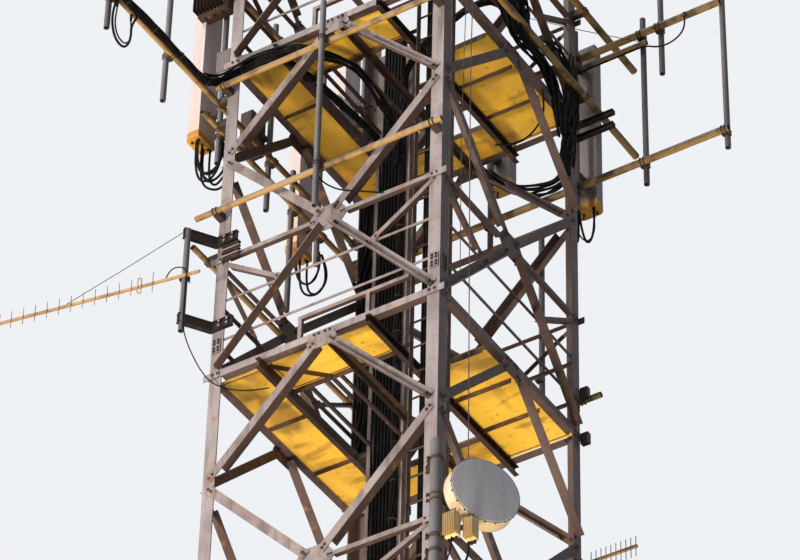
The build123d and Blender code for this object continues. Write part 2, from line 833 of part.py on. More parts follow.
def ladder_guide():
    """Upright safety channel behind the rungs."""
    x = LADDER_LEFT_X + LADDER_WIDTH / 2
    y = LADDER_Y + RUNG_SIZE / 2 * EIGHT_FLAT
    outline = [
        (-GUIDE_WIDTH / 2, 0),
        (GUIDE_WIDTH / 2, 0),
        (GUIDE_WIDTH / 2, GUIDE_DEPTH),
        (GUIDE_WIDTH / 2 - GUIDE_THICK, GUIDE_DEPTH),
        (GUIDE_WIDTH / 2 - GUIDE_THICK, GUIDE_THICK),
        (-GUIDE_WIDTH / 2 + GUIDE_THICK, GUIDE_THICK),
        (-GUIDE_WIDTH / 2 + GUIDE_THICK, GUIDE_DEPTH),
        (-GUIDE_WIDTH / 2, GUIDE_DEPTH),
    ]
    return [Pos(x, y, 0) * extrude(Polygon(*outline, align=None), amount=LADDER_TOP)]


def ladder_brackets():
    """Flat bars that hold the ladder to the right floor beam."""
    start = RIGHT_BEAM_X + BEAM_FLANGE
    end = LADDER_LEFT_X - STILE_THICK / 2
    half = LADDER_BRACKET / 2
    bars = []
    for level in PLATFORM_LEVELS:
        high = level - STRUT_SIZE / 2
        bars.append(box(start, end, LADDER_Y - half, LADDER_Y + half, high - BEAM_THICK, high))
    return bars


def cable_tray_stiles():
    """Two upright angles of the cable ladder."""
    outline = [
        (0, 0),
        (TRAY_STILE, 0),
        (TRAY_STILE, TRAY_THICK),
        (TRAY_THICK, TRAY_THICK),
        (TRAY_THICK, TRAY_STILE),
        (0, TRAY_STILE),
    ]
    left = prism(outline, Plane.XY, TRAY_TOP)
    right = prism([(-x, y) for x, y in outline], Plane.XY, TRAY_TOP)
    return [
        Pos(TRAY_X, TRAY_Y, 0) * left,
        Pos(TRAY_X + TRAY_WIDTH + TRAY_STILE, TRAY_Y, 0) * right,
    ]


def cable_tray_rungs():
    """Flat cross bars that the feeder cables lie on."""
    bars = []
    x0 = TRAY_X + TRAY_RUNG_INSET
    x1 = TRAY_X + TRAY_WIDTH + TRAY_STILE - TRAY_RUNG_INSET
    half = TRAY_RUNG / 2
    count = int((TRAY_TOP - TRAY_FIRST_RUNG) // TRAY_RUNG_PITCH)
    for step in range(count + 1):
        z = TRAY_FIRST_RUNG + step * TRAY_RUNG_PITCH
        bars.append(box(x0, x1, TRAY_Y - TRAY_RUNG_THICK, TRAY_Y, z - half, z + half))
    return bars


def cable_tray_supports():
    """Bars across the platform wells behind the cable ladder."""
    bars = []
    y = TRAY_Y + TRAY_STILE
    for level in PLATFORM_LEVELS:
        z = level - STRUT_SIZE / 2 - BEAM_DEPTH / 2
        half = TRAY_SUPPORT / 2
        bars.append(box(LEFT_BEAM_X, MIDDLE_BEAM_X, y, y + TRAY_SUPPORT_THICK, z - half, z + half))
    return bars


def feeder_cables():
    """Row of upright feeder cables clipped to the cable ladder."""
    cables = []
    y = TRAY_Y - TRAY_RUNG_THICK - FEEDER_DIAMETER / 2 * EIGHT_FLAT
    first = TRAY_X + TRAY_STILE + FEEDER_INSET
    for number in range(FEEDER_COUNT):
        x = first + number * FEEDER_PITCH
        cables.append(slim_bar((x, y, 0), (x, y, FEEDER_TOP), FEEDER_DIAMETER))
    return cables


def seated(block, length, *places):
    """Saddle block with a V-shaped seat for each pipe that lies in it.

    Each place is a point on the pipe's axis where the seat starts, the direction from the
    axis into the block, and the pipe's direction.
    """
    half_angle = math.radians(SEAT_ANGLE / 2)
    apex = (PIPE_DIAMETER / 2 + CLAMP_GAP) / math.sin(half_angle)
    mouth = SEAT_MOUTH - 1
    wide = (apex - mouth) * math.tan(half_angle)
    for origin, inwards, along in places:
        plane = Plane(origin=origin, x_dir=inwards, z_dir=along)
        block -= prism([(apex, 0), (mouth, wide), (mouth, -wide)], plane, length)
    return block


def face_pipes(table):
    """Mounting pipes along the front face, from (height, start, end) rows."""
    y = -PIPE_LINE
    return [rod((start, y, z), (end, y, z), PIPE_DIAMETER) for z, start, end in table]


def leg_saddles(table):
    """Saddles between the face pipes of the front face and its legs."""
    half = CLAMP_WIDTH / 2
    near = SEAT_MOUTH - PIPE_LINE
    saddles = []
    for z, start, end in table:
        for x in (-CLAMP_LINE, CLAMP_LINE):
            if start < x < end:
                block = box(x - half, x + half, near, -HALF, z - CLAMP_HALF, z + CLAMP_HALF)
                place = ((x - half, -PIPE_LINE, z), (0, 1, 0), (1, 0, 0))
                saddles.append(seated(block, CLAMP_WIDTH, place))
    return saddles


def uprights(table):
    """Upright pipes in front of the face pipes of the front face."""
    y = -UPRIGHT_LINE
    return [rod((x, y, low), (x, y, high), PIPE_DIAMETER) for x, low, high, held in table]


def cross_saddles(table, pipes):
    """Saddles between the upright pipes and the face pipes of the front face."""
    half = CLAMP_HALF
    near = SEAT_MOUTH - UPRIGHT_LINE
    saddles = []
    for x, low, high, held in table:
        for number in held:
            z = pipes[number][0]
            block = box(x - half, x + half, near, -PIPE_LINE - SEAT_MOUTH, z - half, z + half)
            lying = ((x - half, -PIPE_LINE, z), (0, -1, 0), (1, 0, 0))
            upright = ((x, -UPRIGHT_LINE, z - half), (0, 1, 0), (0, 0, 1))
            saddles.append(seated(block, 2 * half, lying, upright))
    return saddles


def back_cross_bar():
    """Bar across the back face, inside its legs."""
    inner = HALF - LEG_THICK
    low = BACK_BAR_Z - BACK_BAR / 2
    bar = box(-RAIL_REACH, RAIL_REACH, inner - PLATE_THICK, inner, low, low + BACK_BAR)
    bar += box(-LEG_TOE, LEG_TOE, inner - BACK_SHELF, inner, low, low + PLATE_THICK)
    return [bar]


def hanging_pipe():
    """Short upright pipe held by the back cross bar and a guard rail."""
    return rod((HANG_X, HANG_Y, HANG_Z[0]), (HANG_X, HANG_Y, HANG_Z[1]), PIPE_DIAMETER)


def hanging_clamps():
    """The two saddles of the short upright pipe."""
    inner = HALF - LEG_THICK
    half = CLAMP_WIDTH / 2
    clamps = []
    for z in (BACK_BAR_Z, MODULE + RAIL_HIGH - RAIL_SIZE / 2):
        block = box(HANG_X - half, HANG_X + half, inner, HANG_Y - SEAT_MOUTH, z - half, z + half)
        place = ((HANG_X, HANG_Y, z - half), (0, -1, 0), (0, 0, 1))
        clamps.append(seated(block, CLAMP_WIDTH, place))
    return clamps


def panel_places():
    """Panel antennas as (pipe x, pipe y, turn, bottom, length)."""
    return [
        (-UPRIGHT_LINE, LEFT_UPRIGHTS[2][0], 180.0, 7250.0, 2300.0),
        (-UPRIGHT_LINE, LEFT_UPRIGHTS[5][0], 180.0, 7120.0, 2100.0),
        (-UPRIGHT_LINE, LEFT_UPRIGHTS[6][0], 180.0, 9400.0, 1400.0),
        (BACK_UPRIGHTS[1][0], UPRIGHT_LINE, 90.0, 7190.0, 2200.0),
        (BACK_UPRIGHTS[0][0], UPRIGHT_LINE, 90.0, 7950.0, 1700.0),
    ]


def panel_body(length):
    """Panel antenna shell looking along +X, its back face at x = 0."""
    outline = Polygon(
        (0, -PANEL_WIDTH / 2),
        (PANEL_DEPTH, -PANEL_WIDTH / 2),
        (PANEL_DEPTH, PANEL_WIDTH / 2),
        (0, PANEL_WIDTH / 2),
        align=None,
    )
    front = outline.vertices().sort_by(Axis.X)[-2:]
    outline = fillet(front, PANEL_ROUND)
    return extrude(outline, amount=length)


def panel_antennas():
    """All panel antenna shells."""
    shells = []
    for x, y, turn, low, length in panel_places():
        shell = Pos(PIPE_DIAMETER / 2 + PANEL_GAP, 0, 0) * panel_body(length)
        shells.append(Pos(x, y, low) * Rot(0, 0, turn) * shell)
    return shells


def panel_brackets():
    """Two saddles between each panel antenna and its pipe."""
    half = CLAMP_WIDTH / 2
    brackets = []
    for x, y, turn, low, length in panel_places():
        for rise in (PANEL_BRACKET, length - PANEL_BRACKET):
            block = box(SEAT_MOUTH, PIPE_DIAMETER / 2 + PANEL_GAP, -half, half, -half, half)
            block = seated(block, CLAMP_WIDTH, ((0, 0, -half), (1, 0, 0), (0, 0, 1)))
            brackets.append(Pos(x, y, low + rise) * Rot(0, 0, turn) * block)
    return brackets


def yagi_place():
    """Place of the long directional antenna where its boom passes its pipe."""
    return Pos(YAGI_X, YAGI_Y, YAGI_Z) * Rot(0, 0, YAGI_TURN)


def yagi_boom():
    """Square boom beside its pipe."""
    half = YAGI_BOOM / 2
    return [yagi_place() * box(-YAGI_REACH, YAGI_TAIL, -YAGI_SIDE - YAGI_BOOM, -YAGI_SIDE, -half, half)]


def looped_dipole():
    """Flat loop with a short bar at its middle, in the X-Y plane."""
    loop = SlotOverall(DIRECTOR_LENGTH, DIPOLE_WIDTH)
    loop -= SlotOverall(DIRECTOR_LENGTH - 2 * DIPOLE_ROD, DIPOLE_WIDTH - 2 * DIPOLE_ROD)
    loop += Rectangle(DIPOLE_ROD, DIPOLE_WIDTH - DIPOLE_ROD)
    return loop


def yagi_elements():
    """Upright rods and the looped dipole on the side of the boom."""
    face = -YAGI_SIDE - YAGI_BOOM
    y = face - YAGI_ELEMENT / 2
    rods = [(-YAGI_REFLECTOR, REFLECTOR_LENGTH / 2)]
    rods += [(-YAGI_FIRST - number * YAGI_PITCH, DIRECTOR_LENGTH / 2) for number in range(YAGI_DIRECTORS)]
    parts = [slim_bar((x, y, -half), (x, y, half), YAGI_ELEMENT, 6) for x, half in rods]
    plane = Plane(origin=(-YAGI_DIPOLE, face, 0), x_dir=(0, 0, 1), z_dir=(0, -1, 0))
    parts.append(extrude(plane * looped_dipole(), amount=DIPOLE_ROD, dir=plane.z_dir))
    return [yagi_place() * part for part in parts]


def yagi_stay():
    """Thin taut stay from the top of the pipe down to the boom."""
    top = (-PIPE_DIAMETER / 2 - YAGI_STAY / 2 - CLAMP_GAP, 0, YAGI_PIPE[1] - YAGI_Z - 15)
    end = (-YAGI_STAY_REACH, -YAGI_SIDE - YAGI_BOOM / 2, YAGI_BOOM / 2 + YAGI_STAY / 2 + CLAMP_GAP)
    return [yagi_place() * slim_bar(top, end, YAGI_STAY, 6)]


def yagi_clamp():
    """Clamp block between the boom and the upright pipe."""
    block = box(-40, 40, -YAGI_SIDE, YAGI_SIDE, -30, 30)
    return [yagi_place() * (block - Cylinder(PIPE_DIAMETER / 2 + CLAMP_GAP, 60))]


def yagi_arms():
    """Bent arms from the front left leg out to the upright pipe."""
    heel = HALF + ARM_THICK
    run = math.hypot(YAGI_X + HALF, YAGI_Y + HALF + ARM_BEND)
    along = ((YAGI_X + HALF) / run, (YAGI_Y + HALF + ARM_BEND) / run)
    side = (-along[1] * ARM_HALF, along[0] * ARM_HALF)
    past = (YAGI_X + ARM_PAST * along[0], YAGI_Y + ARM_PAST * along[1])
    back = YAGI_X - side[0] - along[0] * (YAGI_Y - side[1] + HALF) / along[1]
    bend = YAGI_X + side[0] - along[0] * (YAGI_Y + side[1] + heel) / along[1]
    outline = [
        (ARM_START, -HALF),
        (back, -HALF),
        (past[0] - side[0], past[1] - side[1]),
        (past[0] + side[0], past[1] + side[1]),
        (bend, -heel),
        (ARM_START, -heel),
    ]
    arms = []
    for level in ARM_LEVELS:
        arm = prism(outline, Plane.XY.offset(level), ARM_HEIGHT)
        bore = Cylinder(PIPE_DIAMETER / 2 + CLAMP_GAP, ARM_HEIGHT)
        arms.append(arm - Pos(YAGI_X, YAGI_Y, level + ARM_HEIGHT / 2) * bore)
    return arms


def yagi_pipe():
    """Upright pipe of the long directional antenna."""
    return rod((YAGI_X, YAGI_Y, YAGI_PIPE[0]), (YAGI_X, YAGI_Y, YAGI_PIPE[1]), PIPE_DIAMETER)


def small_yagi():
    """Short directional antenna with its clamp on the back right leg."""
    half = YAGI_BOOM / 2
    boom = box(HALF, HALF + SMALL_YAGI_REACH, SMALL_YAGI_Y - half, SMALL_YAGI_Y + half, -half, half)
    antenna = boom + box(HALF, HALF + 50, SMALL_YAGI_Y - 40, SMALL_YAGI_Y + 40, -60, 60)
    for number in range(SMALL_YAGI_COUNT):
        x = HALF + SMALL_YAGI_REACH - 15 - number * SMALL_YAGI_PITCH
        reach = SMALL_YAGI_ELEMENT / 2
        antenna += slim_bar((x, SMALL_YAGI_Y, -reach), (x, SMALL_YAGI_Y, reach), YAGI_ELEMENT, 6)
    return [Pos(0, 0, SMALL_YAGI_Z) * antenna]


def dish_place():
    """Place of the drum dish, its back centre at the origin and its face along +X."""
    return Pos(DISH_X, DISH_Y, DISH_Z) * Rot(0, 0, DISH_TURN)


def dish_drum():
    """Drum with a tapered back, turned about its own axis."""
    section = Polyline(
        (-DISH_BOWL, 0),
        (-DISH_BOWL, DISH_HUB),
        (0, DISH_RADIUS),
        (DISH_DEPTH, DISH_RADIUS),
        (DISH_DEPTH, 0),
        close=True,
    )
    return [dish_place() * revolve(make_face(section), Axis.X)]


def dish_radome():
    """Slightly domed front cover."""
    section = Polyline(
        (DISH_DEPTH, 0),
        (DISH_DEPTH, DISH_RADIUS - RADOME_INSET),
        (DISH_DEPTH + RADOME_EDGE, DISH_RADIUS - RADOME_INSET),
        (DISH_DEPTH + RADOME_EDGE + RADOME_BULGE, 0),
        close=True,
    )
    return [dish_place() * revolve(make_face(section), Axis.X)]


def dish_collar(z, height):
    """Ring round the stout pipe."""
    return Pos(DISH_PIPE_X, DISH_PIPE_Y, z) * Cylinder(DISH_PIPE / 2 + DISH_COLLAR, height)


def dish_bore(z, height):
    """Cut for the stout pipe with its running clearance."""
    return Pos(DISH_PIPE_X, DISH_PIPE_Y, z) * Cylinder(DISH_PIPE / 2 + CLAMP_GAP, height)


def dish_mount():
    """Collar on the stout pipe with an arm and a hub plate behind the dish."""
    hub_middle = -DISH_BOWL - DISH_HUB_LENGTH / 2
    hub = dish_place() * (Pos(hub_middle, 0, 0) * Rot(0, 90, 0) * Cylinder(DISH_HUB - 15, DISH_HUB_LENGTH))
    target = (dish_place() * Pos(hub_middle - 12, 0, 0)).position
    run = math.hypot(target.X - DISH_PIPE_X, target.Y - DISH_PIPE_Y)
    turn = math.degrees(math.atan2(target.Y - DISH_PIPE_Y, target.X - DISH_PIPE_X))
    half = DISH_ARM / 2
    arm = Pos(DISH_PIPE_X, DISH_PIPE_Y, DISH_Z) * Rot(0, 0, turn) * box(0, run, -half, half, -half, half)
    return [dish_collar(DISH_Z, DISH_HUB) + arm + hub - dish_bore(DISH_Z, 2 * DISH_HUB)]


def dish_pipe():
    """Stout upright pipe in front of the front right leg."""
    low, high = DISH_PIPE_Z
    return rod((DISH_PIPE_X, DISH_PIPE_Y, low), (DISH_PIPE_X, DISH_PIPE_Y, high), DISH_PIPE, 24)


def dish_pipe_brackets():
    """Brackets that hold the stout pipe to the heel of the leg."""
    reach = DISH_PIPE / 2 + 20
    outline = [
        (HALF - 100, -HALF),
        (HALF, -HALF),
        (HALF, -HALF + 100),
        (HALF + 45, -HALF + 100),
        (DISH_PIPE_X + reach, DISH_PIPE_Y + 40),
        (DISH_PIPE_X + reach, DISH_PIPE_Y - 30),
        (DISH_PIPE_X + 30, DISH_PIPE_Y - reach),
        (DISH_PIPE_X - 55, DISH_PIPE_Y - reach),
        (HALF - 100, -HALF - 45),
    ]
    brackets = []
    for z in DISH_BRACKETS:
        block = prism(outline, Plane.XY.offset(z), DISH_BRACKET)
        brackets.append(block - dish_bore(z + DISH_BRACKET / 2, 2 * DISH_BRACKET))
    return brackets


def tube(points, diameter, sides=6):
    """Cable along straight runs joined by arcs as large as the runs allow."""
    places = [Vector(*point) for point in points]
    runs = [b - a for a, b in zip(places, places[1:])]
    if len(runs) == 1:
        return slim_bar(points[0], points[1], diameter, sides)
    radii = []
    for a, b in zip(runs, runs[1:]):
        turn = math.radians(a.get_angle(b))
        radii.append(0.45 * min(a.length, b.length) / math.tan(turn / 2))
    print("cable radii", [round(radius) for radius in radii])
    path = FilletPolyline(*places, radius=radii)
    section = RegularPolygon(diameter / 2, sides, rotation=180 / sides)
    return sweep(Plane(origin=places[0], z_dir=runs[0]) * section, path=path)


def jumper_routes():
    """Name and route of each free jumper under the panel antennas."""
    rows = [
        ("first_jumper", 0, SHORT_JUMPER),
        ("second_jumper", 0, LONG_JUMPER),
        ("third_jumper", 1, SHORT_JUMPER),
        ("fourth_jumper", 3, LONG_JUMPER),
    ]
    routes = []
    for name, number, points in rows:
        x, y, turn, low, length = panel_places()[number]
        place = Pos(x, y, low) * Rot(0, 0, turn)
        routes.append((name, [tuple((place * Pos(*point)).position) for point in points]))
    return routes


def free_cables():
    """Name, route and diameter of each cable that hangs free."""
    rows = [(name, points, JUMPER_CABLE) for name, points in jumper_routes()]
    rows.append(("boom_loop", BOOM_LOOP, JUMPER_CABLE))
    rows.append(("pipe_loop", PIPE_LOOP, LIMB_CABLE))
    rows.append(("yagi_feeder", YAGI_FEEDER, YAGI_CABLE))
    rows.append(("unit_cable", UNIT_DROP, UNIT_CABLE))
    return rows


def run_cables():
    """Bundles lashed to the boom, the rails and the cable ladder."""
    x, y, z = TRAY_DROP
    left = tube(LEFT_RUN, RUN_CABLE) + slim_bar((x, y, 0), (x, y, z), DROP_CABLE)
    return [left, tube(RIGHT_RUN, RUN_CABLE), tube(LIMB_RUN, LIMB_CABLE)]


def plug(x, y, low, high):
    """Upright connector body."""
    return slim_bar((x, y, low), (x, y, high), PLUG_WIDTH, 6)


def cable_connectors():
    """Sockets under the antennas and connector bodies where free cables start or end."""
    bodies = []
    for x, y, turn, low, length in panel_places():
        place = Pos(x, y, low) * Rot(0, 0, turn)
        for points in (SHORT_JUMPER, LONG_JUMPER):
            out, side, drop = points[0]
            bodies.append(place * slim_bar((out, side, -SOCKET_LENGTH), (out, side, 0), SOCKET_WIDTH, 6))
    for name, points in jumper_routes():
        x, y, z = points[-1]
        bodies.append(plug(x, y, z, z + PLUG_LENGTH))
    for x, y, z in (BOOM_LOOP[0], BOOM_LOOP[-1]):
        bodies.append(plug(x, y, z, z + BOOM_PLUG))
    x, y, z = PIPE_LOOP[0]
    bodies.append(plug(x, y, z, z + PLUG_LENGTH))
    x, y, z = UNIT_DROP[-1]
    bodies.append(plug(x, y, z - PLUG_LENGTH, z))
    x, y, z = RIGHT_RUN[-1]
    bodies.append(slim_bar((x, y, z - PLUG_LENGTH), (x, y, z), RUN_CABLE + 6, 6))
    return bodies


def radio_units():
    """Small outdoor units under the dish and a larger one inside the upper guard rails."""
    bar_end = DISH_PIPE_X + UNIT_REACH
    front = DISH_PIPE_Y - UNIT_BAR / 2
    wall = HALF - LEG_THICK - RAIL_SIZE
    places = [
        (NEAR_UNIT, bar_end - UNIT_LAP - NEAR_UNIT[0], front - NEAR_UNIT[1], UNIT_Z + NEAR_UNIT_LOW),
        (FAR_UNIT, bar_end, DISH_PIPE_Y + FAR_UNIT_FRONT, UNIT_Z + FAR_UNIT_LOW),
        (RAIL_UNIT, -wall, RAIL_UNIT_Y, 2 * MODULE + RAIL_UNIT_LOW),
    ]
    units = [box(x, x + wide, y, y + deep, z, z + high) for (wide, deep, high), x, y, z in places]
    return [chamfer(unit.edges().filter_by(Axis.Z), UNIT_CORNER) for unit in units]


def unit_bar():
    """Bar from the stout pipe that carries the small outdoor units."""
    half = UNIT_BAR / 2
    bar = Pos(DISH_PIPE_X, DISH_PIPE_Y, UNIT_Z) * box(0, UNIT_REACH, -half, half, -half, half)
    return [dish_collar(UNIT_Z, 1.5 * UNIT_BAR) + bar - dish_bore(UNIT_Z, 3 * UNIT_BAR)]


def main():
    """Build every named piece and write it to the parts folder."""
    os.makedirs("parts", exist_ok=True)
    corners = {"front_left": (-1, -1), "front_right": (1, -1), "back_right": (1, 1), "back_left": (-1, 1)}
    for name, (corner_x, corner_y) in corners.items():
        save("leg_" + name, leg(corner_x, corner_y))
    save("foot_plates", [foot_plate(x, y) for x, y in corners.values()])
    save("leg_splices", leg_splices())
    all_round = {
        "foot_ribs": [foot_rib(-1), foot_rib(1)],
        "platform_struts": platform_struts(),
        "middle_horizontals": middle_horizontals(),
        "sub_braces": sub_braces(),
        "hub_gussets": hub_gussets(),
    }
    for name, pieces in all_round.items():
        save(name, [piece for index in range(4) for piece in to_face(index, pieces)])
    for index, name in enumerate(FACE_NAMES):
        save(name + "_diagonals", to_face(index, diagonals()))
    small = [piece for index in range(4) for piece in to_face(index, sub_gussets())]
    save("small_gussets", small + leg_tabs() + to_face(2, leg_tabs()))
    long_rails = guard_rails(RAIL_REACH)
    short_rails = guard_rails(RAIL_REACH - RAIL_SIZE)
    rails = long_rails + to_face(2, long_rails) + to_face(1, short_rails) + to_face(3, short_rails)
    save("guard_rails", rails + kick_rails())
    for name, level in zip(("lower", "upper"), PLATFORM_LEVELS):
        save(name + "_floor_plates", floor_plates(level))
    save("floor_beams", [piece for level in PLATFORM_LEVELS for piece in floor_beams(level)])
    save("floor_bearers", [piece for level in PLATFORM_LEVELS for piece in floor_bearers(level)])
    save("plan_bracing", plan_bracing())
    save("ladder_stiles", ladder_stiles())
    save("ladder_rungs", ladder_rungs())
    save("ladder_guide", ladder_guide())
    save("platform_brackets", ladder_brackets() + cable_tray_supports())
    save("cable_tray_stiles", cable_tray_stiles())
    save("cable_tray_rungs", cable_tray_rungs())
    save("feeder_cables", feeder_cables())
    tables = {
        "front": (FRONT_PIPES, FRONT_UPRIGHTS),
        "right": (RIGHT_PIPES, ()),
        "back": (BACK_PIPES, BACK_UPRIGHTS),
        "left": (LEFT_PIPES, LEFT_UPRIGHTS),
    }
    standing = [hanging_pipe(), yagi_pipe(), dish_pipe()]
    saddles = []
    crossings = hanging_clamps()
    for index, name in enumerate(FACE_NAMES):
        pipes, rows = tables[name]
        sign = face_sign(index)
        turned = [(sign * place, low, high, held) for place, low, high, held in rows]
        lying = [(z,) + tuple(sorted((sign * start, sign * end))) for z, start, end in pipes]
        save(name + "_pipes", to_face(index, face_pipes(lying)))
        saddles += to_face(index, leg_saddles(lying))
        standing += to_face(index, uprights(turned))
        crossings += to_face(index, cross_saddles(turned, lying))
    save("pipe_clamps", saddles)
    save("upright_pipes", standing)
    save("crossing_clamps", crossings)
    save("back_cross_bar", back_cross_bar())
    save("panel_antennas", panel_antennas())
    save("panel_brackets", panel_brackets())
    save("yagi_boom", yagi_boom())
    save("yagi_elements", yagi_elements())
    save("yagi_mount", yagi_clamp() + yagi_arms() + yagi_stay())
    save("small_yagi", small_yagi())
    save("dish_drum", dish_drum())
    save("dish_radome", dish_radome())
    save("dish_mount", dish_mount() + unit_bar() + dish_pipe_brackets())
    save("radio_units", radio_units())
    save("run_cables", run_cables())
    save("cable_connectors", cable_connectors())
    for name, points, diameter in free_cables():
        save(name, [tube(points, diameter)])


main()
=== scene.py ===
import json
import logging
import math
from dataclasses import dataclass, field
from enum import Enum

import bpy
from mathutils import Matrix, Vector

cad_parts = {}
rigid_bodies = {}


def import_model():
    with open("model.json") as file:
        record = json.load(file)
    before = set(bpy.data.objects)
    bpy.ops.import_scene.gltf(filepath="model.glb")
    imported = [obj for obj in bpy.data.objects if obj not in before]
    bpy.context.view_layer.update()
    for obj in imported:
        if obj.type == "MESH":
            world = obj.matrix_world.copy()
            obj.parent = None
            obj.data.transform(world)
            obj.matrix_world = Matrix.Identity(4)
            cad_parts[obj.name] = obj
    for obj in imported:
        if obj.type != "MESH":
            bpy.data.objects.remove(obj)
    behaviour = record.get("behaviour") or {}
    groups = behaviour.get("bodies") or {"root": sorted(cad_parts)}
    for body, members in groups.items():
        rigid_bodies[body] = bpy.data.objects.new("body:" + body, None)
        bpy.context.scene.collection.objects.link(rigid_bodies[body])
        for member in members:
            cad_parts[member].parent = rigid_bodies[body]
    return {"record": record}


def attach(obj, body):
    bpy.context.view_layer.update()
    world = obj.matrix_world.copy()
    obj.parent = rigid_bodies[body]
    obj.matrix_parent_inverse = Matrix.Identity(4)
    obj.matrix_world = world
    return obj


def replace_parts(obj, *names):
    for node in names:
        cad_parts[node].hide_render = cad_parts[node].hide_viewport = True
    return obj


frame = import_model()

LOG = logging.getLogger("cell_tower")
Point = tuple[float, float, float]
Colour = tuple[float, float, float]
Point2 = tuple[float, float]
Outline = list[Point2]
Reach = tuple[float, ...]
Form = tuple[list[Vector], list[tuple[int, ...]]]
Socket = bpy.types.NodeSocket
SHARP_ANGLE = math.radians(40)
ANTENNAS = (
    (-1.445, -1.090, 180, 7.250), (-1.445, 0.670, 180, 7.120), (-1.445, 1.430, 180, 9.400),
    (1.138, 1.445, 90, 7.190), (0.130, 1.445, 90, 7.950),
)


class Face(Enum):
    """The four faces of the tower, by quarter turns from the front."""

    FRONT = 0
    RIGHT = 1
    BACK = 2
    LEFT = 3

    def turn(self) -> Matrix:
        """Turn a front-face place to this face."""
        return spin(90 * self.value)


class Shader:
    """Nodes of one material, added and linked by short calls."""

    def __init__(self, name: str) -> None:
        """Start a material with an empty tree and an output.

        Args:
            name: Name of the material.
        """
        self.material = bpy.data.materials.new(name)
        self.material.use_nodes = True
        self.tree = self.material.node_tree
        self.tree.nodes.clear()
        self.output = self.node("OutputMaterial")
        self.place = self.node("TexCoord").outputs["Object"]

    def node(self, kind: str) -> bpy.types.Node:
        """Add one shader node by the short name of its type."""
        return self.tree.nodes.new(f"ShaderNode{kind}")

    def link(self, source: Socket, target: Socket) -> None:
        """Join two sockets."""
        self.tree.links.new(source, target)

    def scaled(self, factors: Point) -> Socket:
        """Object coordinates times a factor for each axis."""
        node = self.node("VectorMath")
        node.operation = "MULTIPLY"
        node.inputs[1].default_value = factors
        self.link(self.place, node.inputs[0])
        return node.outputs[0]

    def noise(self, scale: float, detail: float = 4, stretch: Point = (1, 1, 1)) -> Socket:
        """Noise in object coordinates.

        Args:
            scale: Number of patches in a metre.
            detail: Octaves of the noise.
            stretch: Factor for each axis.

        Returns:
            Socket with values from 0 to 1.
        """
        node = self.node("TexNoise")
        node.inputs["Scale"].default_value = scale
        node.inputs["Detail"].default_value = detail
        self.link(self.scaled(stretch), node.inputs["Vector"])
        return node.outputs["Fac"]

    def cells(self, scale: float) -> Socket:
        """Random grey for each cell of a zinc-like pattern."""
        node = self.node("TexVoronoi")
        node.inputs["Scale"].default_value = scale
        self.link(self.place, node.inputs["Vector"])
        split = self.node("SeparateColor")
        self.link(node.outputs["Color"], split.inputs[0])
        return split.outputs[0]

    def step(self, value: Socket, low: float, high: float) -> Socket:
        """Ramp a value from 0 at low to 1 at high."""
        node = self.node("MapRange")
        node.inputs["From Min"].default_value = low
        node.inputs["From Max"].default_value = high
        self.link(value, node.inputs["Value"])
        return node.outputs[0]

    def maths(self, kind: str, first: Socket, second: Socket | float) -> Socket:
        """Clamped result of an operation on two values.

        Args:
            kind: Blender's name of the operation.
            first: First value.
            second: Second value, a socket or a number.

        Returns:
            Socket with the result.
        """
        node = self.node("Math")
        node.operation = kind
        node.use_clamp = True
        self.link(first, node.inputs[0])
        if isinstance(second, (int, float)):
            node.inputs[1].default_value = second
        else:
            self.link(second, node.inputs[1])
        return node.outputs[0]

    def normal(self, axis: int) -> Socket:
        """One component of the true surface normal."""
        node = self.node("NewGeometry")
        split = self.node("SeparateXYZ")
        self.link(node.outputs["True Normal"], split.inputs[0])
        return split.outputs[axis]

    def coordinate(self, axis: int) -> Socket:
        """One coordinate in metres."""
        split = self.node("SeparateXYZ")
        self.link(self.place, split.inputs[0])
        return split.outputs[axis]

    def island(self) -> Socket:
        """Random number for each separate form of a mesh."""
        return self.node("NewGeometry").outputs["Random Per Island"]

    def blend(
        self,
        factor: Socket,
        first: Colour | Socket,
        second: Colour | Socket,
        kind: str = "MIX",
    ) -> Socket:
        """Mix two colours.

        Args:
            factor: Share of the second colour.
            first: Colour or socket.
            second: Colour or socket.
            kind: Blender's name of the mix.

        Returns:
            Socket with the mixed colour.
        """
        node = self.node("Mix")
        node.data_type = "RGBA"
        node.blend_type = kind
        self.link(factor, node.inputs["Factor"])
        for index, value in ((6, first), (7, second)):
            if isinstance(value, tuple):
                node.inputs[index].default_value = (*value, 1)
            else:
                self.link(value, node.inputs[index])
        return node.outputs[2]

    def wash(self, mask: Socket, share: float, colour: Socket, over: Colour) -> Socket:
        """Lay one more colour over the first, by a share of a mask."""
        return self.blend(self.maths("MULTIPLY", mask, share), colour, over)

    def finish(
        self,
        colour: Socket,
        roughness: Socket,
        metallic: float,
        bump: Socket,
        depth: float,
        shine: float = 0.4,
    ) -> bpy.types.Material:
        """Close the tree with a principled shader and a bump.

        Args:
            colour: Base colour.
            roughness: Roughness from 0 to 1.
            metallic: Constant metallic share.
            bump: Height of the surface.
            depth: Depth of the bump in metres.
            shine: Level of the mirror share.

        Returns:
            The finished material.
        """
        shader = self.node("BsdfPrincipled")
        shader.inputs["Metallic"].default_value = metallic
        shader.inputs["Specular IOR Level"].default_value = shine
        self.link(colour, shader.inputs["Base Color"])
        self.link(roughness, shader.inputs["Roughness"])
        relief = self.node("Bump")
        relief.inputs["Distance"].default_value = depth
        relief.inputs["Strength"].default_value = 0.6
        self.link(bump, relief.inputs["Height"])
        self.link(relief.outputs[0], shader.inputs["Normal"])
        self.link(shader.outputs[0], self.output.inputs[0])
        return self.material


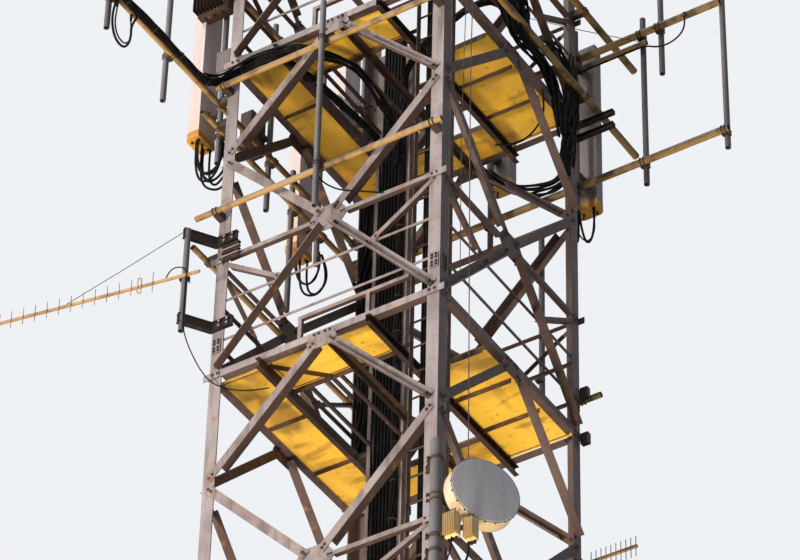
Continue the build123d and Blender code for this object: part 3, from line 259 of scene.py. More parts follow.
@dataclass(frozen=True)
class SteelFinish:
    """Weathered steel: faded coat, streaks, rust, soot, painted light and shade on undersides and sides."""

    name: str
    coat: Colour
    shade: Colour
    # Under colour: painted light and shade on down-facing faces, and also the colour of the streak stains.
    under_shading_and_stain: Colour
    rust: Colour = (0.30, 0.13, 0.05)
    rust_share: float = 0.5
    dark: Colour = (0.045, 0.030, 0.024)
    soot: float = 0.35
    # Colour of the painted shade on sides turned to +X and on inner faces of the back and left faces.
    painted_shade: Colour = (0.075, 0.045, 0.037)
    painted_shade_share: float = 0.6
    inner_shade_share: float = 0.8
    under_shading_start: float = -0.15
    metallic: float = 0.08
    roughness: float = 0.55

    def build(self) -> bpy.types.Material:
        """Make the material."""
        s = Shader(self.name)
        patches = s.step(s.noise(1.7, 6), 0.35, 0.68)
        spangle = s.step(s.cells(70), 0.0, 3.0)
        colour = s.blend(patches, self.coat, self.shade)
        colour = s.blend(spangle, colour, self.shade)
        streaks = s.step(s.noise(14, 5, (1, 1, 0.12)), 0.52, 0.78)
        colour = s.wash(streaks, 0.65, colour, self.under_shading_and_stain)
        # Painted light and shade on down-facing faces in the under colour: painted warm uplight on pipes,
        # painted shade on darker steels.
        down = s.step(s.maths("MULTIPLY", s.normal(2), -1.0), -self.under_shading_start, 0.75)
        colour = s.wash(down, 0.9, colour, self.under_shading_and_stain)
        # Painted shade on faces turned towards +X, away from the key lamp.
        painted_shade = s.step(s.normal(0), 0.25, 0.85)
        colour = s.wash(painted_shade, self.painted_shade_share, colour, self.painted_shade)
        # Painted shade on faces turned to -Y along the back face and the left face, inside the lattice.
        left = s.maths("MULTIPLY", s.step(s.coordinate(0), -0.9, -1.15), s.step(s.coordinate(1), -1.15, -0.9))
        deep = s.maths("ADD", s.step(s.coordinate(1), 0.7, 1.1), left)
        inner = s.maths("MULTIPLY", deep, s.step(s.normal(1), -0.2, -0.6))
        colour = s.wash(inner, self.inner_shade_share, colour, self.painted_shade)
        spots = s.step(s.noise(9, 8), 0.60, 0.72)
        colour = s.wash(spots, self.rust_share, colour, self.rust)
        soot = s.step(s.noise(5.5, 7, (1, 1, 0.6)), 0.50, 0.64)
        colour = s.wash(soot, self.soot, colour, self.dark)
        rough = s.step(s.noise(30, 3), -1.2 * self.roughness, 1.2)
        grain = s.noise(160, 3)
        return s.finish(colour, rough, self.metallic, grain, 0.0012, 0.25)


@dataclass(frozen=True)
class PlatformFinish:
    """Yellow floor paint with brown stains, dull patches and a fine grain."""

    name: str = "platform_paint"
    paint: Colour = (0.90, 0.55, 0.045)
    deep: Colour = (0.74, 0.36, 0.025)
    faded: Colour = (0.86, 0.50, 0.060)
    brown: Colour = (0.42, 0.19, 0.030)
    stain: Colour = (0.16, 0.075, 0.022)

    def build(self) -> bpy.types.Material:
        """Make the material."""
        s = Shader(self.name)
        plates = s.maths("MULTIPLY", s.island(), 0.8)
        colour = s.blend(plates, self.paint, self.deep)
        colour = s.blend(s.step(s.noise(1.5, 5), 0.38, 0.66), colour, self.faded)
        wide = s.step(s.noise(1.35, 6), 0.52, 0.70)
        colour = s.wash(wide, 0.6, colour, self.brown)
        bands = s.step(s.noise(3.1, 5, (1.0, 0.35, 1)), 0.54, 0.64)
        colour = s.wash(bands, 0.55, colour, self.stain)
        drips = s.step(s.noise(6.0, 7, (0.25, 1.0, 1)), 0.57, 0.66)
        colour = s.wash(drips, 0.5, colour, self.stain)
        spots = s.step(s.noise(21, 6), 0.62, 0.75)
        colour = s.wash(spots, 0.7, colour, self.stain)
        rough = s.step(s.noise(11, 4), -0.6, 1.4)
        return s.finish(colour, rough, 0.0, s.noise(45, 2), 0.002)


@dataclass(frozen=True)
class ShellFinish:
    """Sun-faded moulded shell with dirt runs, painted warm light on its lower end and painted shadow past a
    given X.
    """

    name: str
    shell: Colour
    dirt: Colour
    painted_light: Colour
    painted_light_low: float = 7.0
    painted_light_high: float = 7.7
    roughness: float = 0.45
    painted_light_share: float = 0.55
    # Colour of the painted shadow on the shell beyond a start along X.
    painted_shadow: Colour = (0.10, 0.085, 0.090)
    painted_shadow_start: float = -0.4

    def build(self) -> bpy.types.Material:
        """Make the material."""
        s = Shader(self.name)
        runs = s.step(s.noise(9, 5, (1, 1, 0.1)), 0.45, 0.75)
        colour = s.blend(s.maths("MULTIPLY", runs, 0.45), self.shell, self.dirt)
        # Painted warm light from below on the lower end of the shell.
        low = s.step(s.coordinate(2), self.painted_light_high, self.painted_light_low)
        colour = s.wash(low, self.painted_light_share, colour, self.painted_light)
        # Painted shadow: the shell turns dark grey beyond a start along X, on the antennas at the back.
        painted_shadow = s.step(s.coordinate(0), self.painted_shadow_start, self.painted_shadow_start + 0.3)
        colour = s.wash(painted_shadow, 0.85, colour, self.painted_shadow)
        specks = s.step(s.noise(60, 5), 0.56, 0.70)
        colour = s.wash(specks, 0.45, colour, self.dirt)
        rough = s.step(s.noise(25, 3), -2 * self.roughness, 1.6)
        return s.finish(colour, rough, 0.0, s.noise(220, 2), 0.0004)


@dataclass(frozen=True)
class JacketFinish:
    """Black cable jacket with a little dust."""

    name: str = "cable_jacket"
    jacket: Colour = (0.0035, 0.0035, 0.0045)
    dust: Colour = (0.014, 0.012, 0.011)

    def build(self) -> bpy.types.Material:
        """Make the material."""
        s = Shader(self.name)
        colour = s.blend(s.step(s.noise(14, 5), 0.45, 0.75), self.jacket, self.dust)
        return s.finish(colour, s.step(s.noise(30, 2), -1.6, 1.2), 0.0, s.noise(300, 2), 0.0004, 0.12)


@dataclass(frozen=True)
class FloorFinish:
    """Pale floor that is only seen from above and lets the light from below through."""

    name: str = "floor"
    pale: Colour = (0.80, 0.80, 0.80)
    lift: float = 0.34

    def build(self) -> bpy.types.Material:
        """Make the material."""
        s = Shader(self.name)
        shader = s.node("BsdfDiffuse")
        shader.inputs["Color"].default_value = (*self.pale, 1)
        glow = s.node("Emission")
        both = s.node("AddShader")
        clear = s.node("BsdfTransparent")
        side = s.node("NewGeometry")
        path = s.node("LightPath")
        mix = s.node("MixShader")
        s.link(s.maths("ADD", side.outputs["Backfacing"], path.outputs["Is Shadow Ray"]), mix.inputs[0])
        s.link(s.maths("MULTIPLY", path.outputs["Is Camera Ray"], self.lift), glow.inputs["Strength"])
        s.link(shader.outputs[0], both.inputs[0])
        s.link(glow.outputs[0], both.inputs[1])
        s.link(both.outputs[0], mix.inputs[1])
        s.link(clear.outputs[0], mix.inputs[2])
        s.link(mix.outputs[0], s.output.inputs[0])
        return s.material


@dataclass
class Finishes:
    """One material for each slot of the record, and one for the antenna caps."""

    materials: dict[str, bpy.types.Material] = field(default_factory=dict)

    def build(self) -> None:
        """Make every finish and paint the carried-over nodes."""
        brown = (0.085, 0.045, 0.035)
        # The third colour of each steel is its under colour: painted light and shade on down-facing faces,
        # and the streak stain.
        made = [
            SteelFinish(
                "tower_steel", (0.40, 0.365, 0.395), (0.285, 0.255, 0.275), brown, soot=0.2, painted_shade_share=0.66
            ),
            SteelFinish(
                "bracing_steel", (0.37, 0.33, 0.345), (0.23, 0.19, 0.195), brown,
                rust_share=0.7, painted_shade_share=0.85,
            ),
            SteelFinish("dark_steel", (0.10, 0.060, 0.045), (0.06, 0.036, 0.028), (0.045, 0.024, 0.018)),
            SteelFinish("rail_steel", (0.38, 0.33, 0.34), (0.26, 0.21, 0.21), brown),
            # Ochre under colour of the pipes: painted warm light on their undersides.
            SteelFinish(
                "pipe_steel", (0.36, 0.29, 0.21), (0.22, 0.15, 0.09), (0.40, 0.235, 0.070),
                rust_share=0.7, under_shading_start=-0.45, soot=0.7, painted_shade_share=0.3, inner_shade_share=0.2,
            ),
            SteelFinish(
                "upright_steel", (0.20, 0.215, 0.25), (0.13, 0.14, 0.165), (0.17, 0.13, 0.10),
                rust_share=0.3, painted_shade_share=0.2, inner_shade_share=0.2,
            ),
            SteelFinish(
                "clamp_steel", (0.070, 0.055, 0.050), (0.040, 0.030, 0.026), (0.060, 0.038, 0.022),
                rust_share=0.3,
            ),
            SteelFinish(
                "antenna_metal", (0.56, 0.41, 0.26), (0.40, 0.28, 0.17), (0.42, 0.25, 0.10), rust_share=0.2
            ),
            SteelFinish(
                "black_bracket", (0.018, 0.018, 0.021), (0.010, 0.010, 0.012), (0.018, 0.013, 0.010),
                rust_share=0.1,
            ),
            PlatformFinish(),
            # Orange cap colour: painted warm light from below, with the floor paint's stains.
            PlatformFinish("cap_painted_light", (0.55, 0.27, 0.035), (0.46, 0.20, 0.025), (0.50, 0.26, 0.04)),
            JacketFinish(),
            # Shells: the third colour is painted warm light from below on the lower ends.
            ShellFinish("antenna_shell", (0.62, 0.56, 0.58), (0.36, 0.30, 0.30), (0.78, 0.40, 0.10)),
            ShellFinish(
                "dish_shell", (0.66, 0.57, 0.45), (0.42, 0.30, 0.15), (0.78, 0.52, 0.13),
                painted_light_low=1.15, painted_light_high=1.40, painted_shadow_start=5.0,
            ),
            ShellFinish(
                "radome_cover", (0.66, 0.66, 0.72), (0.40, 0.395, 0.43), (0.66, 0.65, 0.69),
                painted_light_low=1.1, painted_light_high=1.2, roughness=0.7, painted_shadow_start=5.0,
            ),
            ShellFinish(
                "unit_shell", (0.76, 0.62, 0.38), (0.34, 0.22, 0.08), (0.70, 0.44, 0.10),
                painted_light_low=0.95, painted_light_high=1.15, painted_shadow_start=5.0,
            ),
        ]
        self.materials = {finish.name: finish.build() for finish in made}
        for entry in frame["record"]["subparts"]:
            self.dress(bpy.data.objects[entry["node"]], entry["material_slot"])

    def dress(self, piece: bpy.types.Object, slot: str) -> None:
        """Give a piece the material of a slot."""
        piece.data.materials.clear()
        piece.data.materials.append(self.materials[slot])


@dataclass
class MeshPiece:
    """A mesh gathered from many small forms, riding on the tower."""

    name: str
    slot: str
    points: list[Vector] = field(default_factory=list)
    faces: list[tuple[int, ...]] = field(default_factory=list)

    def add(self, points: list[Vector], faces: list[tuple[int, ...]], place: Matrix) -> None:
        """Add one form, moved to its place.

        Args:
            points: Corners of the form.
            faces: Faces by corner number.
            place: Where the form goes.
        """
        start = len(self.points)
        self.points += [place @ point for point in points]
        self.faces += [tuple(start + corner for corner in face) for face in faces]

    def build(self, finishes: Finishes, smooth: bool = False) -> bpy.types.Object:
        """Make the object, dress it and let it ride on the tower.

        Args:
            finishes: Materials by slot.
            smooth: Whether the faces are shaded smooth.

        Returns:
            The new object.
        """
        mesh = bpy.data.meshes.new(self.name)
        mesh.from_pydata([tuple(point) for point in self.points], [], self.faces)
        mesh.validate()
        mesh.polygons.foreach_set("use_smooth", [smooth] * len(mesh.polygons))
        mesh.set_sharp_from_angle(angle=SHARP_ANGLE)
        piece = bpy.data.objects.new(self.name, mesh)
        bpy.context.collection.objects.link(piece)
        finishes.dress(piece, self.slot)
        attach(piece, "root")
        LOG.info("%s: %d faces", self.name, len(mesh.polygons))
        return piece


def ring(radius: float, height: float, sides: int, phase: float = 0.0) -> list[Vector]:
    """Corners of a flat ring round the Z axis.

    Args:
        radius: Distance of the corners from the axis.
        height: Height of the ring.
        sides: Number of corners.
        phase: Turn of the first corner.

    Returns:
        The corners in order.
    """
    turn = 2 * math.pi / sides
    return [
        Vector((radius * math.cos(phase + turn * i), radius * math.sin(phase + turn * i), height))
        for i in range(sides)
    ]


def skin(rings: int, sides: int) -> list[tuple[int, ...]]:
    """Faces of a closed form made of rings of corners, the lowest first."""
    faces = [tuple(reversed(range(sides)))]
    for level in range(rings - 1):
        for i in range(sides):
            a = level * sides + i
            b = level * sides + (i + 1) % sides
            faces.append((a, b, b + sides, a + sides))
    faces.append(tuple(range((rings - 1) * sides, rings * sides)))
    return faces


def lathe(profile: Outline, sides: int, phase: float = 0.0) -> Form:
    """Closed form turned round the Z axis.

    Args:
        profile: Radius and height of each ring, from the lowest up.
        sides: Number of sides.
        phase: Turn of the first corner.

    Returns:
        Corners and faces.
    """
    points = [point for radius, height in profile for point in ring(radius, height, sides, phase)]
    return points, skin(len(profile), sides)


def stack(outline: Outline, levels: Outline) -> Form:
    """Closed form with the same outline at several heights, each drawn in a little.

    Args:
        outline: Corners of the outline round its middle.
        levels: Inset and height of each level, from the lowest up.

    Returns:
        Corners and faces.
    """
    middle = Vector((sum(x for x, _ in outline), sum(y for _, y in outline))) / len(outline)
    points = []
    for inset, height in levels:
        for corner in outline:
            away = Vector(corner) - middle
            shift = Vector([math.copysign(min(inset, abs(value)), value) for value in away])
            points.append((Vector(corner) - shift).to_3d() + Vector((0, 0, height)))
    return points, skin(len(levels), len(outline))


def block(x: float, y: float, z: float, cut: float = 0.004) -> Form:
    """Block with softened edges, standing on the middle of its base.

    Args:
        x: Size along X.
        y: Size along Y.
        z: Height.
        cut: Size of the softened edges.

    Returns:
        Corners and faces.
    """
    a, b = x / 2, y / 2
    outline = [(a, b - cut), (a - cut, b), (cut - a, b), (-a, b - cut)]
    outline += [(-a, cut - b), (cut - a, -b), (a - cut, -b), (a, cut - b)]
    return stack(outline, [(cut, 0), (0, cut), (0, z - cut), (cut, z)])


def at(place: Vector | Point) -> Matrix:
    """Matrix that moves a form to a place."""
    return Matrix.Translation(place)


def spin(degrees: float) -> Matrix:
    """Matrix that turns a form about the Z axis."""
    return Matrix.Rotation(math.radians(degrees), 4, "Z")


def aim(place: Vector, direction: Vector) -> Matrix:
    """Matrix that stands a form at a place with its Z axis along a direction."""
    return at(place) @ direction.to_track_quat("Z", "Y").to_matrix().to_4x4()


@dataclass
class Bolt:
    """Hexagon bolt with washers, nut and thread end through a grip."""

    size: float = 0.016
    across: float = 0.026
    head: float = 0.010
    washer: float = 0.030

    def add(self, piece: MeshPiece, place: Vector, out: Vector, grip: float) -> None:
        """Add the bolt to a piece.

        Args:
            piece: Mesh that collects the bolts.
            place: Centre of the hole on the outer surface.
            out: Direction out of the surface.
            grip: Thickness of what the bolt holds.
        """
        corner = self.across / math.sqrt(3)
        up = aim(place, out)
        down = aim(place - out * grip, -out)
        piece.add(*lathe([(self.washer / 2, 0), (self.washer / 2, 0.003)], 10), up)
        piece.add(*lathe([(corner, 0.003), (corner, self.head), (corner * 0.8, self.head + 0.002)], 6), up)
        piece.add(*lathe([(corner, 0.0), (corner, 0.013), (corner * 0.8, 0.015)], 6), down)
        piece.add(*lathe([(self.size / 2, 0.013), (self.size / 2, 0.026)], 6), down)


@dataclass
class TowerPlan:
    """Driving sizes of the lattice, the same as those of the solids, in metres."""

    half: float = 1.25
    module: float = 4.0
    hub_rise: float = 1.42
    node_rise: float = 2.72
    foot_node: float = 0.32
    top: float = 10.78
    leg: float = 0.13
    leg_thick: float = 0.012
    lap_foot: float = 0.08
    lap_node: float = 0.055
    lap_light: float = 0.05
    share: float = 0.60

    def leg_middle(self) -> float:
        """Distance of the middle of a leg's flange from the middle of a face."""
        return self.half - self.leg / 2

    def panels(self) -> list[tuple[float, float, float]]:
        """Foot, hub and node heights of the crossed panels."""
        lows = [self.foot_node, self.module, 2 * self.module]
        bases = [0.0, self.module, 2 * self.module]
        return [(low, base + self.hub_rise, base + self.node_rise) for low, base in zip(lows, bases)]

    def levels(self) -> list[float]:
        """Heights of the platforms."""
        return [self.module, 2 * self.module]

    def on_face(self, face: Face, u: float, z: float, out: float) -> Vector:
        """Place on a face from its own coordinates.

        Args:
            face: The face.
            u: Distance to the right of its middle, seen from outside.
            z: Height.
            out: Distance outwards from the axis of the tower.

        Returns:
            The place in the row frame.
        """
        return face.turn() @ Vector((u, -out, z))

    def outwards(self, face: Face) -> Vector:
        """Direction out of a face."""
        return face.turn() @ Vector((0, -1, 0))


@dataclass
class Bolts:
    """All bolts of the lattice, gathered in one piece for each face."""

    plan: TowerPlan
    bolt: Bolt = field(default_factory=Bolt)
    light: Bolt = field(default_factory=lambda: Bolt(0.012, 0.021, 0.008, 0.024))
    lap: float = 1.258
    light_lap: float = 1.255
    plate_lap: float = 1.266
    splice_lap: float = 1.26
    splice: float = 4.35
    leg_row: Point2 = (1.15, 1.205)
    hub_row: Point2 = (0.155, 0.185)
    plate_row: Point2 = (0.035, 0.085)
    splice_row: Point2 = (1.168, 1.212)
    splice_rise: tuple[float, ...] = (-0.062, -0.026, 0.026, 0.062)
    leg_end: Point2 = (0.012, 0.058)
    hub_end: Point2 = (0.130, 0.168)
    plate_end: Point2 = (0.138, 0.176)
    grip: float = 0.016
    light_grip: float = 0.013
    strut_grip: float = 0.017
    splice_grip: float = 0.022

    def along(self, start: Point2, end: Point2, distances: Reach) -> Outline:
        """Points at distances along a bar of the face plane.

        Args:
            start: Start of the bar as (u, z).
            end: End of the bar as (u, z).
            distances: Distances from the start.

        Returns:
            The points as (u, z).
        """
        run = math.hypot(end[0] - start[0], end[1] - start[1])
        du, dz = (end[0] - start[0]) / run, (end[1] - start[1]) / run
        return [(start[0] + du * d, start[1] + dz * d) for d in distances]

    def places(self, face: Face) -> list[tuple[float, float, float, float, Bolt]]:
        """Bolt places of one face.

        Args:
            face: The face.

        Returns:
            For each bolt u, z, outer surface, grip and kind.
        """
        plan = self.plan
        middle = plan.leg_middle()
        tabs = 0.008 if face in (Face.FRONT, Face.BACK) else 0.0
        found: list[tuple[float, float, float, float, Bolt]] = []
        leg_grip = plan.leg_thick + 0.008

        def bar(
            start: Point2, end: Point2, distances: Reach, surface: float, grip: float, kind: Bolt
        ) -> None:
            """Add bolts at distances along a bar."""
            found.extend((u, z, surface, grip, kind) for u, z in self.along(start, end, distances))

        def row(side: int, places: Point2, z: float, surface: float, grip: float, kind: Bolt) -> None:
            """Add two bolts side by side at one height."""
            found.extend((side * u, z, surface, grip, kind) for u in places)

        for low, hub, node in plan.panels():
            for side in (-1, 1):
                foot = (side * middle, low + plan.lap_foot)
                head = (side * middle, node - plan.lap_node)
                for end in (foot, head):
                    bar(end, (0, hub), self.leg_end, self.lap, leg_grip, self.bolt)
                    bar((0, hub), end, self.hub_end, self.lap, self.grip, self.bolt)
                row(side, self.hub_row, hub, self.light_lap, self.light_grip, self.light)
                row(side, self.leg_row, hub, self.light_lap + tabs, self.strut_grip + tabs, self.light)
                top = (side * middle, hub - plan.lap_light)
                start = low + plan.lap_foot
                shared = (side * middle * (1 - plan.share), start + (hub - start) * plan.share)
                bar(top, shared, (0.018,), self.light_lap, self.strut_grip, self.light)
                bar(shared, top, (0.085,), self.light_lap, self.light_grip, self.light)
                bar(shared, (0, hub), (-0.02, 0.03), self.lap, self.grip, self.light)
        for level in plan.levels():
            for side in (-1, 1):
                head = (side * middle, level - plan.module + plan.node_rise + plan.lap_node)
                bar(head, (0, level), self.leg_end, self.lap, leg_grip, self.bolt)
                bar((0, level), head, self.plate_end, self.plate_lap, self.grip, self.bolt)
                row(side, self.plate_row, level, self.plate_lap, self.grip, self.bolt)
                row(side, self.leg_row, level, self.lap + tabs, leg_grip + tabs, self.bolt)
        for side in (-1, 1):
            row(side, self.leg_row, plan.top - 0.04, self.lap, leg_grip, self.bolt)
            for rise in self.splice_rise:
                row(side, self.splice_row, self.splice + rise, self.splice_lap, self.splice_grip, self.bolt)
        return found

    def build(self, finishes: Finishes) -> None:
        """Make the bolts of every face."""
        for face in Face:
            piece = MeshPiece(f"bolts_{face.name.lower()}", "clamp_steel")
            out = self.plan.outwards(face)
            for u, z, surface, grip, kind in self.places(face):
                kind.add(piece, self.plan.on_face(face, u, z, surface), out, grip)
            piece.build(finishes)


def sweep(points: list[Vector], radius: float, sides: int) -> Form:
    """Round bar that follows a line of points.

    Args:
        points: The line.
        radius: Radius of the bar.
        sides: Number of sides.

    Returns:
        Corners and faces.
    """
    corners: list[Vector] = []
    across = (points[1] - points[0]).orthogonal().normalized()
    for index, point in enumerate(points):
        ahead = points[min(index + 1, len(points) - 1)] - points[max(index - 1, 0)]
        ahead.normalize()
        across = (across - ahead * across.dot(ahead)).normalized()
        other = ahead.cross(across)
        for step in range(sides):
            turn = 2 * math.pi * step / sides
            corners.append(point + (across * math.cos(turn) + other * math.sin(turn)) * radius)
    return corners, skin(len(points), sides)


@dataclass
class Pipes:
    """Mounting pipes, antenna pipes and the stout dish pipe, with open ends."""

    half: float = 1.25
    radius: float = 0.030
    wall: float = 0.004
    line: float = 1.375
    upright_line: float = 1.445
    recess: float = 0.15
    face_pipes: dict[Face, list[tuple[float, float, float, float]]] = field(
        default_factory=lambda: {
            Face.FRONT: [(5.950, -1.440, 1.320, 0.030), (7.600, -1.300, 1.300, 0.030)],
            Face.RIGHT: [(8.290, -1.300, 2.250, 0.038), (9.490, -1.300, 2.250, 0.038)],
            Face.BACK: [
                (7.270, -1.300, 2.890, 0.038), (9.017, -1.300, 2.850, 0.038),
                (8.870, 1.060, 2.010, 0.030), (4.526, 1.060, 1.417, 0.030),
            ],
            Face.LEFT: [
                (5.490, -1.480, 1.350, 0.030), (7.250, -1.480, 1.400, 0.030),
                (7.560, -3.100, 1.300, 0.030), (9.245, -1.300, 1.750, 0.030),
            ],
        }
    )
    uprights: dict[Face, list[tuple[float, float, float, tuple[int, ...]]]] = field(
        default_factory=lambda: {
            Face.FRONT: [(-0.020, 5.420, 8.090, (0, 1))],
            Face.BACK: [
                (0.130, 6.940, 9.700, (0, 1)),
                (1.138, 7.000, 9.500, (0, 1)),
                (1.930, 7.020, 9.290, (0, 1)),
                (2.140, 8.420, 10.000, (1,)),
                (2.840, 7.080, 9.700, (0,)),
            ],
            Face.LEFT: [
                (-2.985, 7.160, 9.250, (2,)),
                (-2.030, 6.980, 9.250, (2,)),
                (-1.090, 6.900, 9.700, (1, 3)),
                (-0.235, 6.940, 9.500, (2, 3)),
                (0.200, 5.950, 7.800, (1,)),
                (0.670, 6.900, 9.700, (1, 3)),
                (1.430, 8.900, 10.900, (3,)),
            ],
        }
    )
    lone: tuple[tuple[float, float, float, float, float], ...] = (
        (0.800, 1.320, 4.690, 6.800, 0.030), (-1.414, -1.520, 4.440, 5.700, 0.030),
        (1.317, -1.350, 0.480, 2.140, 0.057),
    )

    def place(self, face: Face, along: float, z: float, out: float) -> Vector:
        """Place on a face by its own row coordinate.

        Args:
            face: The face.
            along: Row coordinate that runs along the face.
            z: Height.
            out: Distance outwards.

        Returns:
            The place in the row frame.
        """
        sign = 1 if face in (Face.RIGHT, Face.BACK) else -1
        if face in (Face.FRONT, Face.BACK):
            return Vector((along, sign * out, z))
        return Vector((sign * out, along, z))

    def tube(self, piece: MeshPiece, start: Vector, end: Vector, radius: float) -> None:
        """Add one hollow pipe.

        Args:
            piece: Mesh that collects the pipes.
            start: Middle of one end.
            end: Middle of the other end.
            radius: Outer radius.
        """
        length = (end - start).length
        inner = radius - self.wall
        profile = [(inner, self.recess), (inner, 0), (radius, 0)]
        steps = max(2, round(length / 0.4))
        profile += [(radius, length * step / steps) for step in range(1, steps)]
        profile += [(radius, length), (inner, length), (inner, length - self.recess)]
        piece.add(*lathe(profile, 24), aim(start, end - start))

    def build(self, finishes: Finishes) -> None:
        """Make all pipes in place of the plain solids."""
        lying = MeshPiece("open_face_pipes", "pipe_steel")
        for face, rows in self.face_pipes.items():
            for z, start, end, radius in rows:
                ends = [self.place(face, along, z, self.line) for along in (start, end)]
                self.tube(lying, *ends, radius)
        standing = MeshPiece("open_upright_pipes", "upright_steel")
        for face, rows in self.uprights.items():
            for along, low, high, _ in rows:
                ends = [self.place(face, along, z, self.upright_line) for z in (low, high)]
                self.tube(standing, *ends, self.radius)
        for x, y, low, high, radius in self.lone:
            self.tube(standing, Vector((x, y, low)), Vector((x, y, high)), radius)
        made = lying.build(finishes, True)
        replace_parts(made, "front_pipes", "right_pipes", "back_pipes", "left_pipes")
        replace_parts(standing.build(finishes, True), "upright_pipes")


@dataclass
class Clamps:
    """U-bolts with nuts and washers at every saddle."""

    pipes: Pipes
    rod: float = 0.006
    leg_line: float = 1.215
    spread: float = 0.018
    thread: float = 0.022
    crossing: float = 0.046

    def pair(
        self, piece: MeshPiece, middle: Vector, along: Vector, back: Vector, depth: float, radius: float
    ) -> None:
        """Add the two U-bolts of one saddle.

        Args:
            piece: Mesh that collects the U-bolts.
            middle: Point on the axis of the pipe.
            along: Direction of the pipe.
            back: Direction from the pipe into the block that carries it.
            depth: Distance of the nuts from the axis.
            radius: Radius of the pipe.
        """
        reach = radius + self.rod
        across = along.cross(back).normalized()
        for centre in (middle + along * (side * self.spread) for side in (-1, 1)):
            line = [centre + across * reach + back * (depth + self.thread)]
            for step in range(9):
                turn = math.pi * step / 8
                line.append(centre + across * (reach * math.cos(turn)) - back * (reach * math.sin(turn)))
            line.append(centre - across * reach + back * (depth + self.thread))
            piece.add(*sweep(line, self.rod, 6), Matrix())
            for side in (-1, 1):
                seat = aim(centre + across * (side * reach) + back * depth, back)
                piece.add(*lathe([(0.014, 0), (0.014, 0.003)], 10), seat)
                piece.add(*lathe([(0.011, 0.003), (0.011, 0.012), (0.009, 0.014)], 6), seat)

    def build(self, finishes: Finishes) -> None:
        """Make the U-bolts of the leg saddles and of the pipe crossings."""
        piece = MeshPiece("clamp_hoops", "clamp_steel")
        pipes = self.pipes
        up = Vector((0, 0, 1))
        for face, rows in pipes.face_pipes.items():
            inwards = pipes.place(face, 0, 0, -1)
            run = pipes.place(face, 1, 0, 0).normalized()
            for z, start, end, radius in rows:
                for along in (-self.leg_line, self.leg_line):
                    if start < along < end:
                        centre = pipes.place(face, along, z, pipes.line)
                        self.pair(piece, centre, run, inwards, pipes.line - pipes.half + 0.012, radius)
            for along, _, _, held in pipes.uprights.get(face, []):
                for number in held:
                    z, _, _, radius = rows[number]
                    lying = pipes.place(face, along, z, pipes.line)
                    standing = pipes.place(face, along, z, pipes.upright_line)
                    self.pair(piece, lying, run, -inwards, self.crossing, radius)
                    self.pair(piece, standing, up, inwards, self.crossing, pipes.radius)
        piece.build(finishes)


@dataclass
class Cable:
    """Round cable along a smooth line drawn by its route points."""

    name: str
    points: list[Point]
    diameter: float
    slot: str = "cable_jacket"

    def build(self, finishes: Finishes) -> bpy.types.Object:
        """Make the cable as a curve and let it ride on the tower."""
        data = bpy.data.curves.new(self.name, "CURVE")
        data.dimensions = "3D"
        data.bevel_depth = 1.0
        data.bevel_resolution = 3
        data.resolution_u = 6
        spline = data.splines.new("NURBS")
        spline.points.add(len(self.points) - 1)
        for point, place in zip(spline.points, self.points):
            point.co = (*place, 1)
            point.radius = self.diameter / 2
        spline.order_u = 3
        spline.use_endpoint_u = True
        data.use_fill_caps = True
        piece = bpy.data.objects.new(self.name, data)
        bpy.context.collection.objects.link(piece)
        finishes.dress(piece, self.slot)
        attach(piece, "root")
        return piece

    def line(self, piece: bpy.types.Object) -> list[Vector]:
        """Points along the middle of a cable that has been built."""
        depth = piece.data.bevel_depth
        piece.data.bevel_depth = 0
        graph = bpy.context.evaluated_depsgraph_get()
        graph.update()
        mesh = bpy.data.meshes.new_from_object(piece.evaluated_get(graph))
        points = [vertex.co.copy() for vertex in mesh.vertices]
        bpy.data.meshes.remove(mesh)
        piece.data.bevel_depth = depth
        return points

    def length(self, piece: bpy.types.Object) -> float:
        """Length of a cable that has been built."""
        line = self.line(piece)
        return sum((b - a).length for a, b in zip(line, line[1:]))


